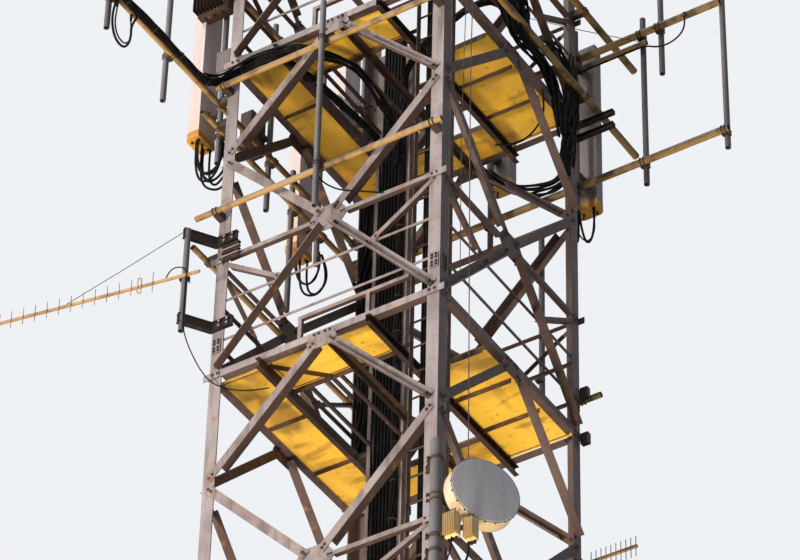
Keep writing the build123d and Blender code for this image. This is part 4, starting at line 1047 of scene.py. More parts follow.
@dataclass
class FreeCables:
    """What hangs free: jumpers, loops, feeder, unit leads and two ropes."""

    jumper: float = 0.016
    short_jumper: tuple[Point, ...] = (
        (0.220, 0.050, -0.030), (0.222, 0.052, -0.120), (0.215, 0.050, -0.230), (0.170, 0.040, -0.400),
        (0.070, 0.020, -0.470), (-0.030, 0.022, -0.430), (-0.050, 0.024, -0.290),
        (-0.038, 0.022, -0.150),
    )
    long_jumper: tuple[Point, ...] = (
        (0.235, -0.050, -0.030), (0.248, -0.056, -0.130), (0.240, -0.058, -0.250),
        (0.190, -0.050, -0.400), (0.090, -0.038, -0.510), (-0.030, -0.026, -0.500),
        (-0.075, -0.022, -0.390), (-0.060, -0.022, -0.268), (-0.038, -0.022, -0.150),
    )
    boom_loop: tuple[Point, ...] = (
        (-1.375, -2.940, 7.450), (-1.373, -2.944, 7.370), (-1.376, -2.952, 7.285),
        (-1.380, -2.938, 7.185), (-1.381, -2.882, 7.095), (-1.378, -2.777, 7.085),
        (-1.374, -2.714, 7.170), (-1.372, -2.694, 7.275), (-1.374, -2.704, 7.365),
        (-1.375, -2.714, 7.450),
    )
    pipe_loop: tuple[Point, ...] = (
        (2.470, 1.331, 8.960), (2.476, 1.329, 8.860), (2.442, 1.328, 8.755), (2.352, 1.330, 8.690),
        (2.235, 1.336, 8.680), (2.120, 1.350, 8.725), (2.005, 1.371, 8.820), (1.890, 1.375, 8.8306),
    )
    yagi_feeder: tuple[Point, ...] = (
        (-1.577, -1.599, 5.094), (-1.545, -1.607, 5.155), (-1.468, -1.605, 5.190),
        (-1.385, -1.590, 5.160), (-1.345, -1.592, 5.085), (-1.352, -1.578, 4.995),
        (-1.376, -1.552, 4.890), (-1.3825, -1.541, 4.780), (-1.382, -1.5407, 4.600),
        (-1.378, -1.538, 4.440), (-1.352, -1.500, 4.290), (-1.312, -1.425, 4.130),
        (-1.262, -1.350, 3.990), (-1.180, -1.300, 3.870), (-1.070, -1.240, 3.800),
        (-0.950, -1.150, 3.790), (-0.840, -1.060, 3.815), (-0.754, -0.990, 3.855),
    )
    unit_cable: tuple[Point, ...] = (
        (1.525, -1.425, 0.965), (1.526, -1.428, 0.890), (1.512, -1.432, 0.800), (1.472, -1.420, 0.715),
        (1.424, -1.385, 0.660), (1.394, -1.356, 0.590), (1.3884, -1.350, 0.520),
    )
    thick: float = 0.024
    loops: tuple[tuple[int, float, float, float, float], ...] = (
        (0, 0.175, 0.100, 0.52, 0.055), (0, 0.205, 0.085, 0.60, 0.075),
        (0, 0.165, -0.095, 0.56, -0.060), (0, 0.190, 0.010, 0.64, -0.085),
        (0, 0.225, 0.045, 0.46, 0.035), (0, 0.215, -0.050, 0.52, -0.035),
        (1, 0.175, 0.095, 0.50, 0.060), (1, 0.200, -0.010, 0.57, -0.065),
        (1, 0.170, -0.095, 0.53, -0.085), (3, 0.175, 0.090, 0.50, 0.060),
        (3, 0.170, -0.095, 0.56, -0.085),
    )
    leads: tuple[tuple[str, tuple[Point, ...], float], ...] = (
        (
            "second_unit_cable",
            (
                (1.665, -1.365, 0.900), (1.667, -1.372, 0.780), (1.640, -1.400, 0.640),
                (1.560, -1.425, 0.500), (1.470, -1.420, 0.360), (1.415, -1.390, 0.220),
                (1.390, -1.370, 0.045),
            ),
            0.020,
        ),
        (
            "strut_loop",
            (
                (-0.020, -1.455, 6.180), (-0.050, -1.470, 6.020), (-0.040, -1.450, 5.860),
                (0.030, -1.400, 5.720), (0.180, -1.340, 5.600), (0.400, -1.300, 5.520),
                (0.620, -1.270, 5.420),
            ),
            0.016,
        ),
        (
            "platform_loop",
            (
                (1.240, 0.600, 7.950), (1.200, 0.720, 7.830), (1.050, 0.860, 7.780),
                (0.850, 0.960, 7.770), (0.650, 1.000, 7.800), (0.480, 0.960, 7.860),
            ),
            0.020,
        ),
    )
    ropes: tuple[tuple[str, tuple[Point, ...], float], ...] = (
        (
            "hoist_rope",
            (
                (1.362, -0.900, 8.262), (1.335, -0.902, 7.400), (1.340, -0.900, 5.400),
                (1.352, -0.901, 3.600), (1.360, -0.900, 2.050),
            ),
            0.010,
        ),
        (
            "second_rope",
            (
                (1.362, -1.010, 8.262), (1.320, -1.012, 6.900), (1.310, -1.010, 5.500),
                (1.318, -1.010, 4.300),
            ),
            0.008,
        ),
    )

    def moved(self, antenna: int, points: tuple[Point, ...]) -> list[Point]:
        """Route of a jumper at one of the antennas."""
        x, y, turn, low = ANTENNAS[antenna]
        place = at((x, y, low)) @ spin(turn)
        return [tuple(place @ Vector(point)) for point in points]

    def rows(self) -> list[tuple[str, list[Point], float]]:
        """Node name, route and diameter of each free cable."""
        return [
            ("first_jumper", self.moved(0, self.short_jumper), self.jumper),
            ("second_jumper", self.moved(0, self.long_jumper), self.jumper),
            ("third_jumper", self.moved(1, self.short_jumper), self.jumper),
            ("fourth_jumper", self.moved(3, self.long_jumper), self.jumper),
            ("boom_loop", list(self.boom_loop), self.jumper),
            ("pipe_loop", list(self.pipe_loop), 0.018),
            ("yagi_feeder", list(self.yagi_feeder), 0.012),
            ("unit_cable", list(self.unit_cable), 0.014),
        ]

    def looped(self, out: float, side: float, drop: float, back: float) -> tuple[Point, ...]:
        """Route of a further jumper from an antenna's lower end to behind its pipe.

        Args:
            out: Distance of its socket from the pipe.
            side: Sideways place of its socket.
            drop: Depth of the loop.
            back: Sideways place of its upper end.

        Returns:
            Points in the antenna's own directions.
        """
        return (
            (out, side, -0.020),
            (out + 0.004, side, -0.110),
            (out - 0.002, side * 0.95, 0.24 - drop),
            (out - 0.040, side * 0.80, 0.07 - drop),
            (out - 0.110, side * 0.50 + back * 0.3, -drop),
            (0.000, back * 0.9, 0.010 - drop),
            (-0.075, back, 0.110 - drop),
            (-0.085, back * 0.9, 0.240 - drop),
            (-0.070, back * 0.6, -0.180),
            (-0.048, back * 0.35, -0.085),
        )

    def further(self) -> list[tuple[str, list[Point], float]]:
        """Name, route and diameter of the cables that stand for no solid."""
        rows = []
        for number, (antenna, *sizes) in enumerate(self.loops):
            rows.append((f"loop_{number + 1}", self.moved(antenna, self.looped(*sizes)), self.thick))
        outer = [(x + 0.020, 1.18 * y + 0.46, 1.30 * z - 2.22) for x, y, z in self.boom_loop[1:-1]]
        ends = ((-1.352, -2.985, 7.518), (-1.352, -2.660, 7.518))
        rows.append(("boom_loop_outer", [ends[0], *outer, ends[1]], self.thick))
        rows += [(name, list(points), diameter) for name, points, diameter in self.leads]
        return rows

    def declare(
        self, node: str | None, name: str, points: list[Point], diameter: float, finishes: Finishes
    ) -> None:
        """Args:
            node: Solid that it stands for, if there is one.
            name: Name of the cable.
            points: Its route.
            diameter: Its diameter.
            finishes: Materials by slot.
        """
        cable = Cable(name, points, diameter)
        piece = cable.build(finishes)
        if node:
            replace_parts(piece, node)
        length = cable.length(piece)
        LOG.info("%s: %.2f m", piece.name, length)

    def build(self, finishes: Finishes) -> None:
        """Make every free cable; those that stand for a solid take its place."""
        for node, points, diameter in self.rows():
            self.declare(node, f"{node}_line", points, diameter, finishes)
        for name, points, diameter in self.further():
            self.declare(None, name, points, diameter, finishes)
        for name, points, diameter in self.ropes:
            cable = Cable(name, list(points), diameter, "rail_steel")
            piece = cable.build(finishes)
            round(cable.length(piece), 3)


@dataclass
class RunBundles:
    """Bundles of cables on the boom, the rails and the ladders, and loose coils beside them."""

    tie: float = 0.042
    tie_pitch: float = 0.45
    tie_step: float = 0.05
    lean: Point = (0.31, 0.22, 0.92)
    front_run: tuple[Point, ...] = (
        (-1.313, -1.560, 7.600), (-1.300, -1.430, 7.690), (-1.250, -1.345, 7.770),
        (-1.130, -1.310, 7.820), (-0.930, -1.305, 7.870), (-0.720, -1.300, 7.880),
        (-0.520, -1.295, 7.850), (-0.360, -1.235, 7.800), (-0.230, -1.040, 7.790),
        (-0.120, -0.870, 7.790), (-0.060, -0.690, 7.780), (-0.080, -0.400, 7.760),
        (-0.140, 0.000, 7.740), (-0.190, 0.180, 7.640), (-0.205, 0.215, 7.300),
    )
    coils: tuple[tuple[Point, ...], ...] = (
        (
            (1.200, -0.300, 9.300), (1.280, -0.250, 8.950), (1.310, -0.080, 8.650),
            (1.300, 0.100, 8.420), (1.295, 0.320, 8.350), (1.290, 0.520, 8.500), (1.290, 0.720, 8.620),
            (1.285, 0.900, 8.560), (1.290, 1.000, 8.350), (1.295, 1.040, 8.050), (1.295, 1.010, 7.700),
            (1.290, 0.990, 7.300),
        ),
        (
            (1.230, -0.360, 9.100), (1.300, -0.260, 8.500), (1.315, -0.060, 8.150),
            (1.310, 0.160, 8.260), (1.300, 0.230, 8.620), (1.295, 0.080, 8.900), (1.300, -0.140, 8.820),
            (1.315, -0.200, 8.450), (1.320, -0.010, 8.180), (1.310, 0.260, 8.160),
            (1.300, 0.520, 8.230), (1.295, 0.700, 8.080), (1.290, 0.860, 7.880), (1.290, 0.960, 7.600),
        ),
        (
            (1.290, 1.060, 8.750), (1.300, 1.100, 8.350), (1.300, 1.080, 7.900), (1.280, 1.040, 7.500),
            (1.180, 1.180, 7.340), (0.980, 1.290, 7.330), (0.740, 1.300, 7.360), (0.520, 1.300, 7.480),
            (0.300, 1.305, 7.720), (0.120, 1.310, 7.930),
        ),
    )
    limb: tuple[Point, ...] = (
        (1.890, 1.375, 8.8306), (1.700, 1.3755, 8.831), (1.400, 1.374, 8.8305), (1.080, 1.375, 8.8306),
    )
    leg: tuple[Point, ...] = (
        (-1.170, 1.165, 4.150), (-1.168, 1.160, 6.200), (-1.172, 1.165, 8.150), (-1.120, 1.130, 8.420),
        (-0.980, 1.180, 8.560),
    )
    left_run: tuple[Point, ...] = (
        (-1.3247, -3.060, 7.560), (-1.3247, -1.580, 7.562), (-1.322, -1.480, 7.610),
        (-1.310, -1.385, 7.685), (-1.255, -1.315, 7.745), (-1.130, -1.287, 7.775),
        (-0.930, -1.283, 7.835), (-0.740, -1.255, 7.828), (-0.610, -1.130, 7.812),
        (-0.530, -0.700, 7.806), (-0.455, 0.060, 7.800), (-0.442, 0.200, 7.760), (-0.440, 0.238, 7.640),
        (-0.4295, 0.2537, 7.560), (-0.4295, 0.2537, 0.020),
    )
    right_run: tuple[Point, ...] = (
        (-0.174, 0.2537, 0.010), (-0.174, 0.2537, 8.420), (-0.140, 0.225, 8.560), (0.020, 0.140, 8.650),
        (0.420, -0.020, 8.680), (0.830, -0.160, 8.650), (1.080, -0.215, 8.590), (1.215, -0.170, 8.520),
        (1.277, -0.020, 8.450), (1.282, 0.250, 8.345), (1.282, 0.500, 8.215), (1.280, 0.720, 8.085),
        (1.279, 0.900, 7.890), (1.279, 0.985, 7.660), (1.280, 1.015, 7.380), (1.281, 1.010, 7.100),
    )

    def spaced(self, route: tuple[Point, ...], step: float = 0.25) -> list[Vector]:
        """Route with more points on its long straight runs."""
        places = [Vector(point) for point in route]
        line = [places[0]]
        for a, b in zip(places, places[1:]):
            count = max(1, round((b - a).length / step))
            line += [a.lerp(b, number / count) for number in range(1, count + 1)]
        return line

    def strands(
        self,
        name: str,
        route: tuple[Point, ...],
        count: int,
        radius: float,
        spread: float,
        finishes: Finishes,
    ) -> list[bpy.types.Object]:
        """Twist a few cables round a route.

        Args:
            name: Start of the names.
            route: Middle of the bundle.
            count: Number of cables.
            radius: Radius of each cable.
            spread: Distance of the cables from the middle.
            finishes: Materials by slot.

        Returns:
            The cables.
        """
        line = self.spaced(route)
        made = []
        for number in range(count):
            points = []
            for index, place in enumerate(line):
                ahead = (line[min(index + 1, len(line) - 1)] - line[max(index - 1, 0)]).normalized()
                across = ahead.cross(Vector(self.lean)).normalized()
                other = ahead.cross(across)
                turn = 2 * math.pi * number / count + 0.45 * index + 0.5 * math.sin(1.7 * index + number)
                away = spread * (1 + 0.35 * math.sin(2.3 * index + 1.9 * number))
                points.append(tuple(place + (across * math.cos(turn) + other * math.sin(turn)) * away))
            made.append(Cable(f"{name}_{number + 1}", points, 2 * radius).build(finishes))
        return made

    def ties(self, piece: MeshPiece, route: tuple[Point, ...], pitch: float) -> None:
        """Add bands round a bundle.

        Args:
            piece: Mesh that collects the bands.
            route: Middle of the bundle.
            pitch: Distance between bands.
        """
        line = self.spaced(route, self.tie_step)
        every = round(pitch / self.tie_step)
        for index in range(every // 2, len(line) - 1, every):
            place = aim(line[index], line[index + 1] - line[index])
            inner = self.tie - 0.003
            profile = [(inner, -0.008), (self.tie, -0.006), (self.tie, 0.006), (inner, 0.008)]
            piece.add(*lathe(profile, 12), place)

    def uprights(
        self, name: str, row: tuple[float, ...], y: float, radius: float, top: float, finishes: Finishes
    ) -> None:
        """Make a row of straight upright cables.

        Args:
            name: Name of the piece.
            row: Place of each cable along X.
            y: Place of the row along Y.
            radius: Radius of each cable.
            top: Height of their upper ends.
            finishes: Materials by slot.
        """
        piece = MeshPiece(name, "cable_jacket")
        for x in row:
            piece.add(*lathe([(radius, 0.010), (radius, top)], 12), at((x, y, 0)))
        piece.build(finishes, True)

    def build(self, finishes: Finishes) -> None:
        """Make the bundles, the coils, the bands and the straight uprights."""
        shift = Vector((0.012, 0, 0))
        boom = tuple(tuple(Vector(point) + shift) for point in self.left_run[:10])
        made = self.strands("boom_strand", boom + self.left_run[10:12], 7, 0.0135, 0.027, finishes)
        made += self.strands("drop_strand", self.left_run[10:], 3, 0.0065, 0.007, finishes)
        made += self.strands("strut_strand", self.front_run, 5, 0.012, 0.034, finishes)
        made += self.strands("rail_strand", self.right_run, 7, 0.013, 0.028, finishes)
        made.append(Cable("limb_strand", list(self.limb), 0.018).build(finishes))
        for number, route in enumerate(self.coils):
            made += self.strands(f"coil_{number + 1}", route, 7, 0.013, 0.056, finishes)
        for piece in made:
            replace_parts(piece, "run_cables")
        bands = MeshPiece("bundle_bands", "black_bracket")
        self.ties(bands, boom, self.tie_pitch)
        self.ties(bands, self.right_run, self.tie_pitch)
        bands.build(finishes, True)
        self.strands("leg_strand", self.leg, 7, 0.016, 0.046, finishes)
        self.uprights("ladder_leads", (0.738, 0.765, 0.792), -0.725, 0.013, 10.400, finishes)
        feeders = tuple(-0.419 + 0.038 * number for number in range(7))
        self.uprights("back_feeders", feeders, 0.300, 0.017, 9.180, finishes)


@dataclass
class RadioUnit:
    """Outdoor radio unit: body, cooling fins, handle and cable glands."""

    width: float
    depth: float
    height: float
    fins: int = 0

    def add(self, piece: MeshPiece, black: MeshPiece, place: Matrix) -> None:
        """Add the unit, its face with the fins along +X.

        Args:
            piece: Mesh that collects the bodies.
            black: Mesh that collects the glands and handles.
            place: Where the middle of its base stands.
        """
        core = self.depth * (0.62 if self.fins else 1.0)
        shift = at((-(self.depth - core) / 2, 0, 0))
        piece.add(*block(core, self.width, self.height, 0.012), place @ shift)
        for number in range(self.fins):
            y = (number / (self.fins - 1) - 0.5) * (self.width - 0.024)
            fin = at((core / 2, y, 0.02))
            piece.add(*block(self.depth - core, 0.005, self.height - 0.04, 0.002), place @ fin)
        for side in (-1, 0, 1):
            gland = at((-0.02, side * self.width * 0.28, -0.028))
            black.add(*lathe([(0.012, 0), (0.015, 0.006), (0.015, 0.030)], 10), place @ gland)
        handle = [
            Vector((0, -self.width * 0.3, self.height - 0.004)),
            Vector((0, -self.width * 0.3, self.height + 0.03)),
            Vector((0, self.width * 0.3, self.height + 0.03)),
            Vector((0, self.width * 0.3, self.height - 0.004)),
        ]
        black.add(*sweep(handle, 0.005, 6), place)


@dataclass
class RadioUnits:
    """All radio units with the seats that carry them."""

    turned: float = -90.0
    units: tuple[tuple[str, RadioUnit, Point, bool], ...] = (
        ("dish_units", RadioUnit(0.130, 0.110, 0.260, 7), (1.525, -1.425, 0.965), True),
        ("dish_units", RadioUnit(0.110, 0.110, 0.240, 7), (1.665, -1.345, 0.925), True),
        ("grey_units", RadioUnit(0.300, 0.190, 0.510, 11), (-1.113, 0.500, 8.320), False),
        ("pale_units", RadioUnit(0.170, 0.120, 0.300, 8), (-1.345, -1.185, 7.980), True),
        ("brown_units", RadioUnit(0.360, 0.240, 0.400, 9), (-1.470, -1.290, 8.790), True),
        ("unit_fittings", RadioUnit(0.250, 0.150, 0.480, 0), (-1.550, -0.390, 7.640), False),
    )
    seats: tuple[tuple[float, float, float, float], ...] = (
        (-1.395, -1.135, 8.10, 0.10), (-1.445, -1.145, 8.97, 0.12), (-1.475, -0.300, 7.86, 0.10),
    )

    def build(self, finishes: Finishes) -> None:
        """Make the units under the dish, inside the rails and beside the antennas."""
        slots = {
            "dish_units": "unit_shell",
            "grey_units": "radome_cover",
            "pale_units": "antenna_shell",
            "brown_units": "dark_steel",
            "unit_fittings": "black_bracket",
        }
        pieces = {name: MeshPiece(name, slot) for name, slot in slots.items()}
        black = pieces["unit_fittings"]
        for name, unit, place, sideways in self.units:
            unit.add(pieces[name], black, at(place) @ spin(self.turned if sideways else 0.0))
        for x, y, z, length in self.seats:
            black.add(*block(0.05, length, 0.05), at((x, y, z)))
        made = [piece.build(finishes) for piece in pieces.values()]
        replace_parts(made[0], "radio_units")


@dataclass
class AntennaCaps:
    """End caps with sockets under the panel antennas."""

    near: float = 0.148
    far: float = 0.317
    half: float = 0.142
    round: float = 0.062
    height: float = 0.070

    def outline(self) -> Outline:
        """Outline of a cap, its rounded side away from the pipe."""
        points = [(self.near, -self.half)]
        for sign in (-1, 1):
            for step in range(5):
                turn = math.radians(90 * step / 4) if sign < 0 else math.radians(90 - 90 * step / 4)
                across = self.half - self.round + self.round * math.cos(turn)
                points.append((self.far - self.round + self.round * math.sin(turn), sign * across))
        return points + [(self.near, self.half)]

    def build(self, finishes: Finishes) -> None:
        """Make the caps and the cable sockets."""
        caps = MeshPiece("antenna_caps", "platform_paint")
        black = MeshPiece("cap_sockets", "black_bracket")
        for x, y, turn, low in ANTENNAS:
            place = at((x, y, low)) @ spin(turn)
            levels = [(0.006, -0.006), (0, 0), (0, self.height), (0.002, self.height + 0.002)]
            caps.add(*stack(self.outline(), levels), place)
            for out in (0.185, 0.262):
                for side in (-0.080, 0.080):
                    seat = place @ at((out, side, -0.030))
                    black.add(*lathe([(0.010, 0), (0.014, 0.006), (0.014, 0.026)], 10), seat)
        # The caps take the orange finish of painted warm light.
        finishes.dress(caps.build(finishes), "cap_painted_light")
        black.build(finishes)


@dataclass
class Dish:
    """Drum dish with a rolled rim, clips and a faintly domed cover."""

    back: Point = (1.611, -1.145, 1.508)
    turn: float = -32.34
    radius: float = 0.330
    depth: float = 0.150
    bowl: float = 0.070
    hub: float = 0.095
    edge: float = 0.008
    bulge: float = 0.012
    clips: int = 20

    def place(self) -> Matrix:
        """Place of the dish, its Z axis the way it looks."""
        angle = math.radians(self.turn)
        return aim(Vector(self.back), Vector((math.cos(angle), math.sin(angle), 0)))

    def build(self, finishes: Finishes) -> None:
        """Make the drum, the cover and the rim in place of the plain solids."""
        place = self.place()
        r, d = self.radius, self.depth
        drum = MeshPiece("rolled_drum", "dish_shell")
        shell = [(self.hub, -self.bowl), (self.hub + 0.02, -self.bowl + 0.002), (r - 0.02, -0.006)]
        shell += [(r - 0.006, 0.000), (r, 0.008), (r, 0.030), (r - 0.003, 0.034), (r - 0.003, d - 0.022)]
        shell += [(r, d - 0.018), (r, d - 0.004), (r - 0.004, d)]
        drum.add(*lathe(shell, 72), place)
        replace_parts(drum.build(finishes, True), "dish_drum")
        cover = MeshPiece("domed_cover", "radome_cover")
        profile = [(r - 0.006, d), (r - 0.006, d + 0.004), (r - 0.010, d + self.edge)]
        for step in range(7, 0, -1):
            share = step / 8
            profile.append(((r - 0.010) * share, d + self.edge + self.bulge * (1 - share**2)))
        cover.add(*lathe(profile, 72), place)
        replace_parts(cover.build(finishes, True), "dish_radome")
        rim = MeshPiece("cover_rim", "black_bracket")
        turns = [math.tau * i / 72 for i in range(73)]
        edge = [Vector((math.cos(a) * (r - 0.004), math.sin(a) * (r - 0.004), d + 0.002)) for a in turns]
        rim.add(*sweep(edge, 0.003, 6), place)
        for number in range(self.clips):
            a = math.tau * number / self.clips
            seat = place @ Matrix.Rotation(a, 4, "Z") @ at((r - 0.001, 0, d - 0.016))
            rim.add(*block(0.004, 0.016, 0.018, 0.001), seat)
        rim.build(finishes)


@dataclass
class DishMount:
    """Bands, arm, hub and brackets that hold the dish and its pipe."""

    pipe: Point2 = (1.317, -1.350)
    radius: float = 0.057
    target: Point2 = (1.4995, -1.0744)
    height: float = 1.508
    unit_height: float = 1.090
    unit_reach: float = 0.293
    brackets: Point2 = (0.905, 1.900)
    hub_bolts: int = 6
    hub: tuple[Point2, ...] = (
        (0.030, -0.168), (0.076, -0.166), (0.080, -0.162), (0.080, -0.140), (0.055, -0.136),
        (0.055, -0.086), (0.080, -0.082), (0.080, -0.070),
    )
    outline: tuple[Point2, ...] = (
        (1.150, -1.250), (1.250, -1.250), (1.250, -1.150), (1.272, -1.150), (1.372, -1.325),
        (1.352, -1.372), (1.282, -1.385), (1.150, -1.273),
    )

    def band(self, piece: MeshPiece, z: float, high: float, out: Vector) -> None:
        """Add one split band with its bolt ears.

        Args:
            piece: Mesh that collects the bands.
            z: Lower edge of the band.
            high: Its height.
            out: Direction of the ears from the pipe.
        """
        place = at((*self.pipe, z))
        outer = self.radius + 0.006
        profile = [(outer - 0.002, 0), (outer, 0.002), (outer, high - 0.002), (outer - 0.002, high)]
        piece.add(*lathe(profile, 40), place)
        side = Vector((-out.y, out.x, 0))
        for sign in (-1, 1):
            middle = Vector((*self.pipe, z)) + out * (outer + 0.010) + side * (sign * 0.007)
            turn = Matrix.Rotation(math.atan2(out.y, out.x), 4, "Z")
            piece.add(*block(0.028, 0.006, high, 0.001), at(middle) @ turn)
        head = Vector((*self.pipe, z + high / 2)) + out * (outer + 0.014) + side * 0.010
        Bolt(0.010, 0.017, 0.007, 0.020).add(piece, head, side, 0.020)

    def build(self, finishes: Finishes) -> None:
        """Make the mount in place of the plain solids."""
        piece = MeshPiece("banded_mount", "clamp_steel")
        away = Vector((-0.75, -0.66, 0)).normalized()
        for height, low, high in ((self.height, -0.040, 0.022), (self.unit_height, -0.022, 0.006)):
            self.band(piece, height + low, 0.016, away)
            self.band(piece, height + high, 0.016, away)
        for low in self.brackets:
            for z in (low, low + 0.052):
                piece.add(*stack(list(self.outline), [(0, z), (0, z + 0.008)]), Matrix())
            for z in (low + 0.012, low + 0.036):
                self.band(piece, z, 0.012, away)
            for x, y in ((1.165, -1.262), (1.262, -1.165)):
                piece.add(*block(0.022, 0.022, 0.052, 0.002), at((x, y, low + 0.004)))
        start = Vector((*self.pipe, self.height))
        run = Vector((*self.target, self.height)) - start
        piece.add(*block(0.064, 0.050, run.length, 0.006), aim(start, run))
        dish = Dish().place()
        piece.add(*lathe(list(self.hub), 32), dish)
        for number in range(self.hub_bolts):
            angle = math.tau * number / self.hub_bolts
            seat = at((0.067 * math.cos(angle), 0.067 * math.sin(angle), -0.140))
            piece.add(*lathe([(0.009, 0), (0.009, 0.010), (0.007, 0.012)], 6), dish @ seat)
        bar = aim(Vector((*self.pipe, self.unit_height)), Vector((1, 0, 0)))
        piece.add(*block(0.038, 0.038, self.unit_reach, 0.005), bar)
        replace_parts(piece.build(finishes, True), "dish_mount")


@dataclass
class BentArms:
    """Channel arms and stay of the long directional antenna, with the bars between the arms."""

    half: float = 1.25
    heel: float = 1.294
    start: float = -1.010
    pipe: Point2 = (-1.414, -1.520)
    reach: float = 0.026
    past: float = 0.045
    bend: float = 0.020
    height: float = 0.110
    web: float = 0.008
    levels: Point2 = (4.530, 5.585)
    boom: Point = (-1.414, -1.520, 5.080)
    turn: float = 9.55
    bolt_line: Point2 = (-1.06, -1.15)
    bolt_rise: Point2 = (0.03, 0.08)
    first_bar: Point = (-1.075, -1.276, 5.360)
    bars: int = 5
    bar_pitch: float = 0.042
    stay: tuple[Point, ...] = ((-0.0335, 0, 0.605), (-0.60, -0.024, 0.320), (-1.230, -0.0505, 0.016))

    def outline(self, grow: float = 0.0) -> Outline:
        """Outline of an arm in plan.

        Args:
            grow: Distance by which the flat sides move in.

        Returns:
            Corners in order.
        """
        pipe = Vector(self.pipe)
        along = (pipe - Vector((-self.half, -self.half - self.bend))).normalized()
        side = Vector((-along.y, along.x)) * (self.reach - grow)
        end = pipe + along * self.past
        near = self.half + grow
        far = self.heel - grow
        back = pipe.x - side.x - along.x * (pipe.y - side.y + near) / along.y
        turn = pipe.x + side.x - along.x * (pipe.y + side.y + far) / along.y
        return [
            (self.start, -near),
            (back, -near),
            tuple(end - side),
            tuple(end + side),
            (turn, -far),
            (self.start, -far),
        ]

    def build(self, finishes: Finishes) -> None:
        """Make both arms, the bars between them, the stay and the clamps on the boom."""
        arms = MeshPiece("channel_arms", "black_bracket")
        pale = MeshPiece("spacer_bars", "rail_steel")
        for level in self.levels:
            upper = self.height - self.web
            for low, high, grow in ((0, self.web, 0.0), (self.web, upper, 0.014), (upper, self.height, 0.0)):
                arms.add(*stack(self.outline(grow), [(0, level + low), (0, level + high)]), Matrix())
            for x in self.bolt_line:
                for z in self.bolt_rise:
                    Bolt().add(pale, Vector((x, -self.heel, level + z)), Vector((0, -1, 0)), 0.044)
        x, y, low = self.first_bar
        for number in range(self.bars):
            bar = at((x, y, low + self.bar_pitch * number))
            (pale if number % 2 else arms).add(*block(0.20, 0.040, 0.022), bar)
        place = at(self.boom) @ spin(self.turn)
        arms.add(*sweep([Vector(point) for point in self.stay], 0.0035, 8), place)
        for x in (-0.035, 0.035):
            for z in (-0.025, 0.0, 0.025):
                arms.add(*block(0.012, 0.076, 0.016, 0.002), place @ at((x, 0, z - 0.008)))
        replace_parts(arms.build(finishes), "yagi_mount")
        pale.build(finishes)


@dataclass
class PlatformTrim:
    """Dark edge strips and bolt heads under the floor plates."""

    levels: Point2 = (3.968, 7.968)
    pitch: float = 0.14
    sheets: tuple[tuple[float, float, float, float], ...] = (
        (-1.20, -0.68, -1.13, 1.13), (0.53, 1.20, -0.34, 1.13), (-0.62, 0.47, -1.20, -0.76),
        (-0.62, 0.47, 0.76, 1.20),
    )

    def build(self, finishes: Finishes) -> None:
        """Make the strips and the bolt heads."""
        trim = MeshPiece("floor_strips", "dark_steel")
        for level in self.levels:
            for x0, x1, y0, y1 in self.sheets:
                for x in (x0, x1):
                    trim.add(*block(0.008, y1 - y0, 0.006, 0.001), at((x, (y0 + y1) / 2, level - 0.006)))
                    for number in range(1, int((y1 - y0) / self.pitch)):
                        seat = at((x, y0 + self.pitch * number, level - 0.010))
                        trim.add(*lathe([(0.010, 0), (0.011, 0.010)], 6), seat)
                for y in (y0, y1):
                    trim.add(*block(x1 - x0, 0.008, 0.006, 0.001), at(((x0 + x1) / 2, y, level - 0.006)))
        trim.build(finishes)


@dataclass
class SmallFittings:
    """Outrigger channels, blocks, the slanting bar and the stay on the right side."""

    channels: Point2 = (7.815, 7.985)
    blocks: Point2 = (4.45, 3.90)
    slant: tuple[Point, Point] = ((1.285, -0.16, 6.10), (1.285, 0.83, 6.48))
    flange_drop: float = 0.04
    stay: tuple[Point, ...] = ((0.66, 1.30, 9.83), (1.30, 1.30, 9.33), (1.94, 1.31, 8.86))

    def bar(self, piece: MeshPiece, drop: float, width: float, thick: float) -> None:
        """Add one flat side of the slanting bar.

        Args:
            piece: Mesh that collects the bars.
            drop: Distance below the line of the slant.
            width: Size across.
            thick: Thickness.
        """
        start, end = (Vector(point) - Vector((0, 0, drop)) for point in self.slant)
        run = end - start
        piece.add(*block(width, thick, run.length, 0.001), aim(start, run))

    def build(self, finishes: Finishes) -> None:
        """Make the fittings."""
        dark = MeshPiece("side_channels", "black_bracket")
        pale = MeshPiece("slanting_bars", "rail_steel")
        for z in self.channels:
            for low, high in ((0.0, 0.006), (0.044, 0.050)):
                dark.add(*block(0.47, 0.060, high - low, 0.001), at((1.425, 1.290, z + low)))
            dark.add(*block(0.47, 0.006, 0.044, 0.001), at((1.425, 1.317, z + 0.003)))
        for z in self.blocks:
            dark.add(*block(0.085, 0.060, 0.125), at((1.290, 1.285, z + 0.015)))
        self.bar(pale, 0, 0.045, 0.006)
        self.bar(pale, self.flange_drop, 0.006, 0.040)
        pale.add(*sweep([Vector(point) for point in self.stay], 0.004, 6), Matrix())
        dark.build(finishes)
        pale.build(finishes)


